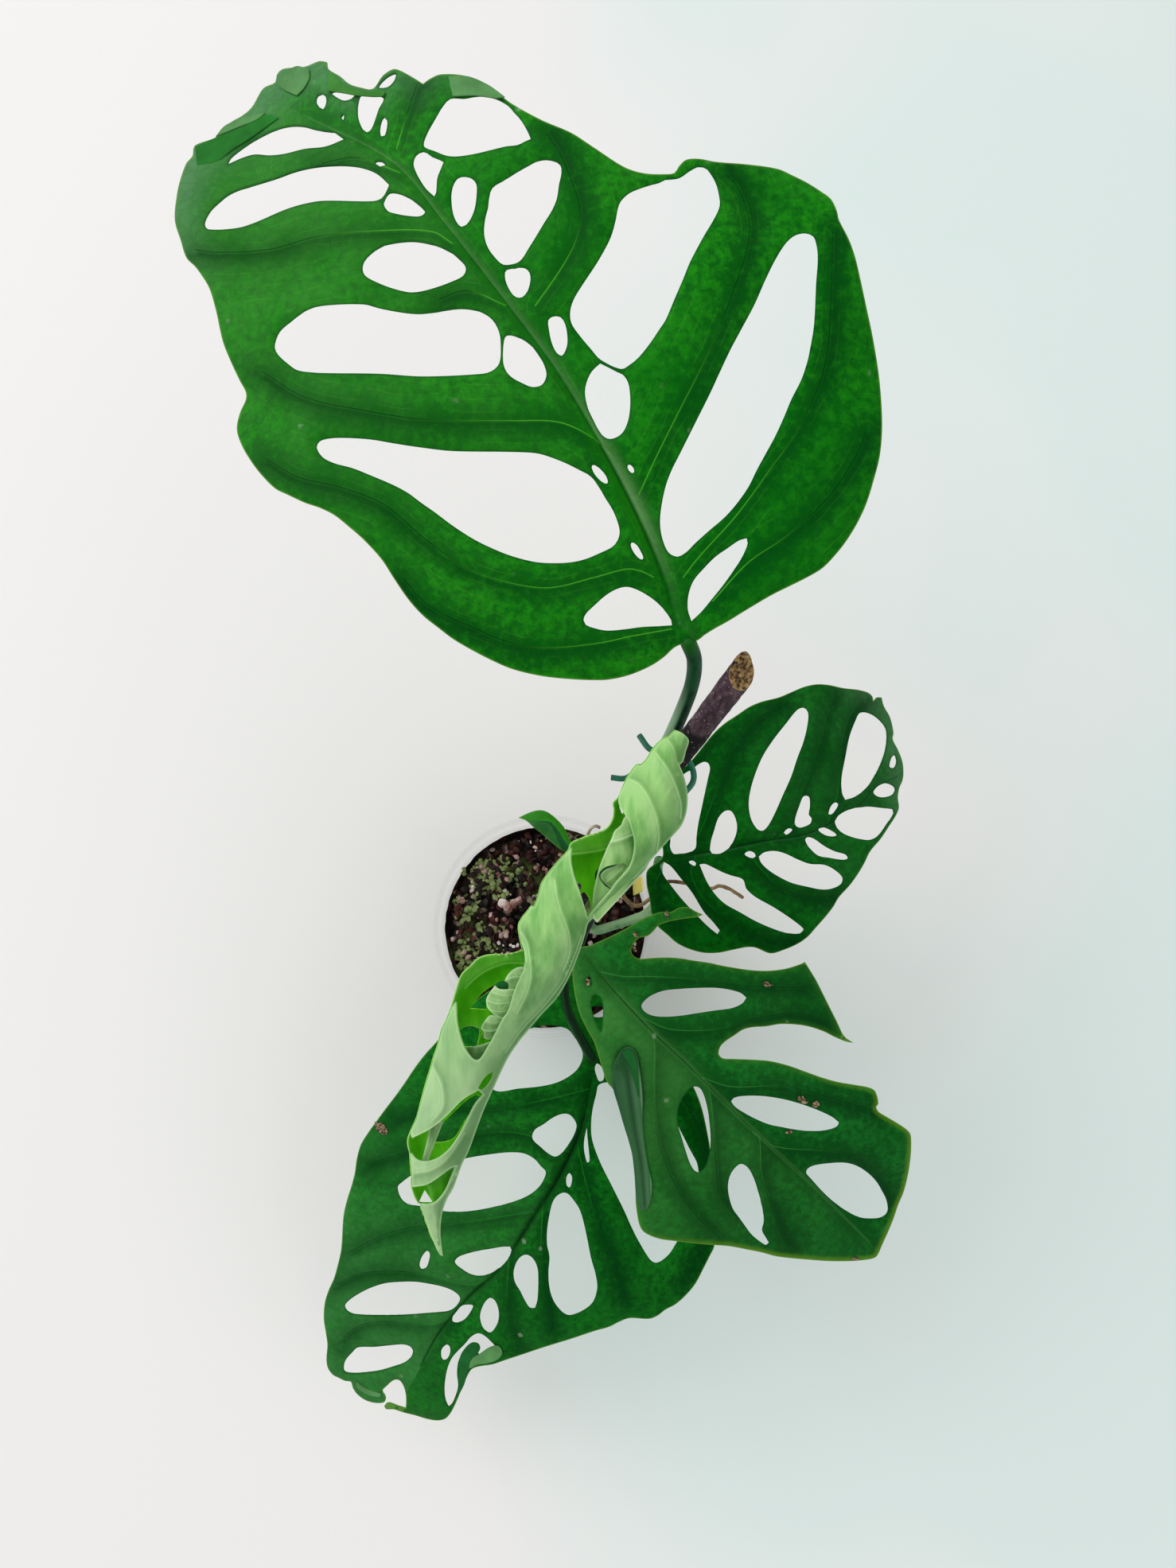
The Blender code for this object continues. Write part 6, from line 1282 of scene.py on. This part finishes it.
# A dark sheet in the ringlet's mouth is painted shade.
inner_turn("ringlet_mouth_painted_shade", [
    (-60.2, -79), (-59, -77.9), (-57, -77.6), (-55.6, -78.6), (-55.6, -80.9), (-58.9, -81)],
    (-55.5, -78.5), (-59, -89), 6.5, -3.0, dark_slope)
inner_turn("ringlet_one", [
    (-56.8, -77.9), (-55.8, -75.6), (-53.5, -73.5), (-50.8, -73.2), (-47, -75), (-47.5, -79), (-51.8, -81.4),
    (-53.8, -81), (-55.8, -79.9)], (-51, -73), (-54.5, -81), 5.5, -1.8, roll_inner,
    (), [([(-56.3, -77), (-53, -76), (-49, -77.2)], 0.3, 0.3)])
inner_turn("ringlet_two", [
    (-59.9, -78.9), (-62.5, -83), (-62.2, -85.7), (-60.9, -87.3), (-57.5, -89.4), (-53.5, -87.5), (-51, -81.5),
    (-53.8, -80.1), (-56.5, -80.2), (-58.8, -79.9)], (-55.5, -78.5), (-59, -89), 6.5, -1.2, roll_inner,
    (), [([(-60.4, -81), (-57, -82), (-52.5, -81.6)], 0.3, 0.3),
         ([(-62.2, -83.6), (-59, -84.6), (-54, -84)], 0.3, 0.3),
         ([(-61.6, -86.4), (-58.5, -87.2), (-54.5, -86.6)], 0.25, 0.25)])
inner_turn("ringlet_three", [
    (-61.5, -88.4), (-64.2, -92.1), (-63.6, -93.1), (-60.2, -93.3), (-56.5, -90.5), (-56.5, -88.3),
    (-59, -88.6)], (-58.5, -87.5), (-62, -94), 4.6, -1.8, roll_inner,
    (), [([(-62.6, -90), (-60, -90.8), (-57.5, -90)], 0.25, 0.25)])
inner_turn("ringlet_tip", [(-63.3, -92.8), (-63.4, -95.4), (-61.8, -96), (-60.4, -95.1), (-59.5, -92.8)],
           (-61, -91), (-62.3, -97), 1.9, -1.0, roll_inner)

inner_turn("inner_turn_lip", [
    (-68.8, -98.5), (-64.5, -97.8), (-60.9, -96.8), (-61.5, -99.8), (-65.4, -103.2), (-67.6, -101.4)],
    (-63.6, -95), (-66.6, -104), 4.4, 1.2, roll_inner)
inner_turn("inner_turn_tube", [
    (-79.7, -122.6), (-76, -121.7), (-78.5, -128), (-81, -134.5), (-82.9, -134.5), (-81.4, -128.5)],
    (-77.7, -122), (-82, -134.5), 1.7, -0.5, roll_inner)
inner_turn("inner_turn_end", [
    (-81.4, -141.2), (-76, -138), (-72.2, -135.8), (-72.5, -140), (-74.6, -144.5), (-76, -147.3),
    (-79, -147.6), (-80.3, -144.6)], (-76, -136), (-79, -149), 4.2, -4.5, roll_face)


# Ties: short lengths of garden wire in a green plastic sleeve, twisted once round stake and stem, with blunt
# cut ends. The sleeve is smooth, and a little scuffed.
sleeve, add, spot = new_look("green_pvc_sleeve")
scuff = add("TexNoise", {"Vector": spot, "Scale": sized(2.0), "Detail": 3.0})
green = add("Mix", {0: scuff, 6: "#004a36", 7: "#047a5c"}, 2, data_type="RGBA")
worn = add("MapRange", (scuff, 0.0, 1.0, 0.3, 0.55))
add("Principled BSDF", {"Base Color": green, "Roughness": worn, "IOR": 1.5})
for name, node, route in (
        ("wire_tie_upper", "tie_upper", [
            (43.7, 63.5, 301), (48.3, 57.4, 302.5), (55.5, 58.2, 302.3), (61.5, 54.8, 301.2), (64.6, 50, 300.3),
            (64.6, 45, 299.6), (60.5, 40, 299), (56, 35.2, 298.5), (50, 33.6, 298), (43.9, 36.2, 297.5),
            (42.4, 42.5, 297), (45, 49.6, 296.5)]),
        ("wire_tie_lower", "tie_lower", [
            (32.8, 48.8, 289), (39, 48.6, 289.3), (45, 53, 289.8), (51.5, 55, 290.2), (57.6, 51.5, 290.6),
            (57.2, 43.5, 290.9), (54, 36, 291.2), (48, 32.2, 291.3), (41.3, 34.2, 291), (40.4, 41, 290.7)])):
    stalk(name, route, lambda t: 1.2, sleeve, node, steps=8, sides=14)


# Label: a plain strip of matt yellow polystyrene with rounded corners, pushed into the mix by the wall.
# It leans outwards, and is a little grimy.
LABEL_SIZE = Vector((0.8, 8.0, 46.5))
LABEL_FOOT = Vector((46.6, 21.0, 76.0))
yellow, add, spot = new_look("yellow_polystyrene")
grime = add("TexNoise", {"Vector": spot, "Scale": sized(7.692), "Detail": 4.0})
strip = add("Mix", {0: grime, 6: "#e4d458", 7: "#faf08c"}, 2, data_type="RGBA")
soft = add("MapRange", (grime, 0.0, 1.0, 0.45, 0.65))
add("Principled BSDF", {"Base Color": strip, "Roughness": soft, "IOR": 1.55})
bpy.ops.mesh.primitive_cube_add(size=1.0)
label = bpy.context.object
label.name = "yellow_label"
label.scale = LABEL_SIZE * MM
bpy.ops.object.transform_apply(scale=True)
label_turn = Matrix.Rotation(math.radians(4.0), 4, "Z") @ Matrix.Rotation(math.radians(7.5), 4, "Y")
label.data.transform(Matrix.Translation(LABEL_FOOT * MM) @ label_turn
                     @ Matrix.Translation(Vector((0.0, 0.0, LABEL_SIZE.z / 2)) * MM))
rounding = label.modifiers.new("rounding", "BEVEL")
rounding.width = 0.25 * MM
rounding.segments = 3
pick(label)
bpy.ops.object.modifier_apply(modifier="rounding")
label.data.materials.append(yellow)
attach(label, "root")
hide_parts("plant_label")
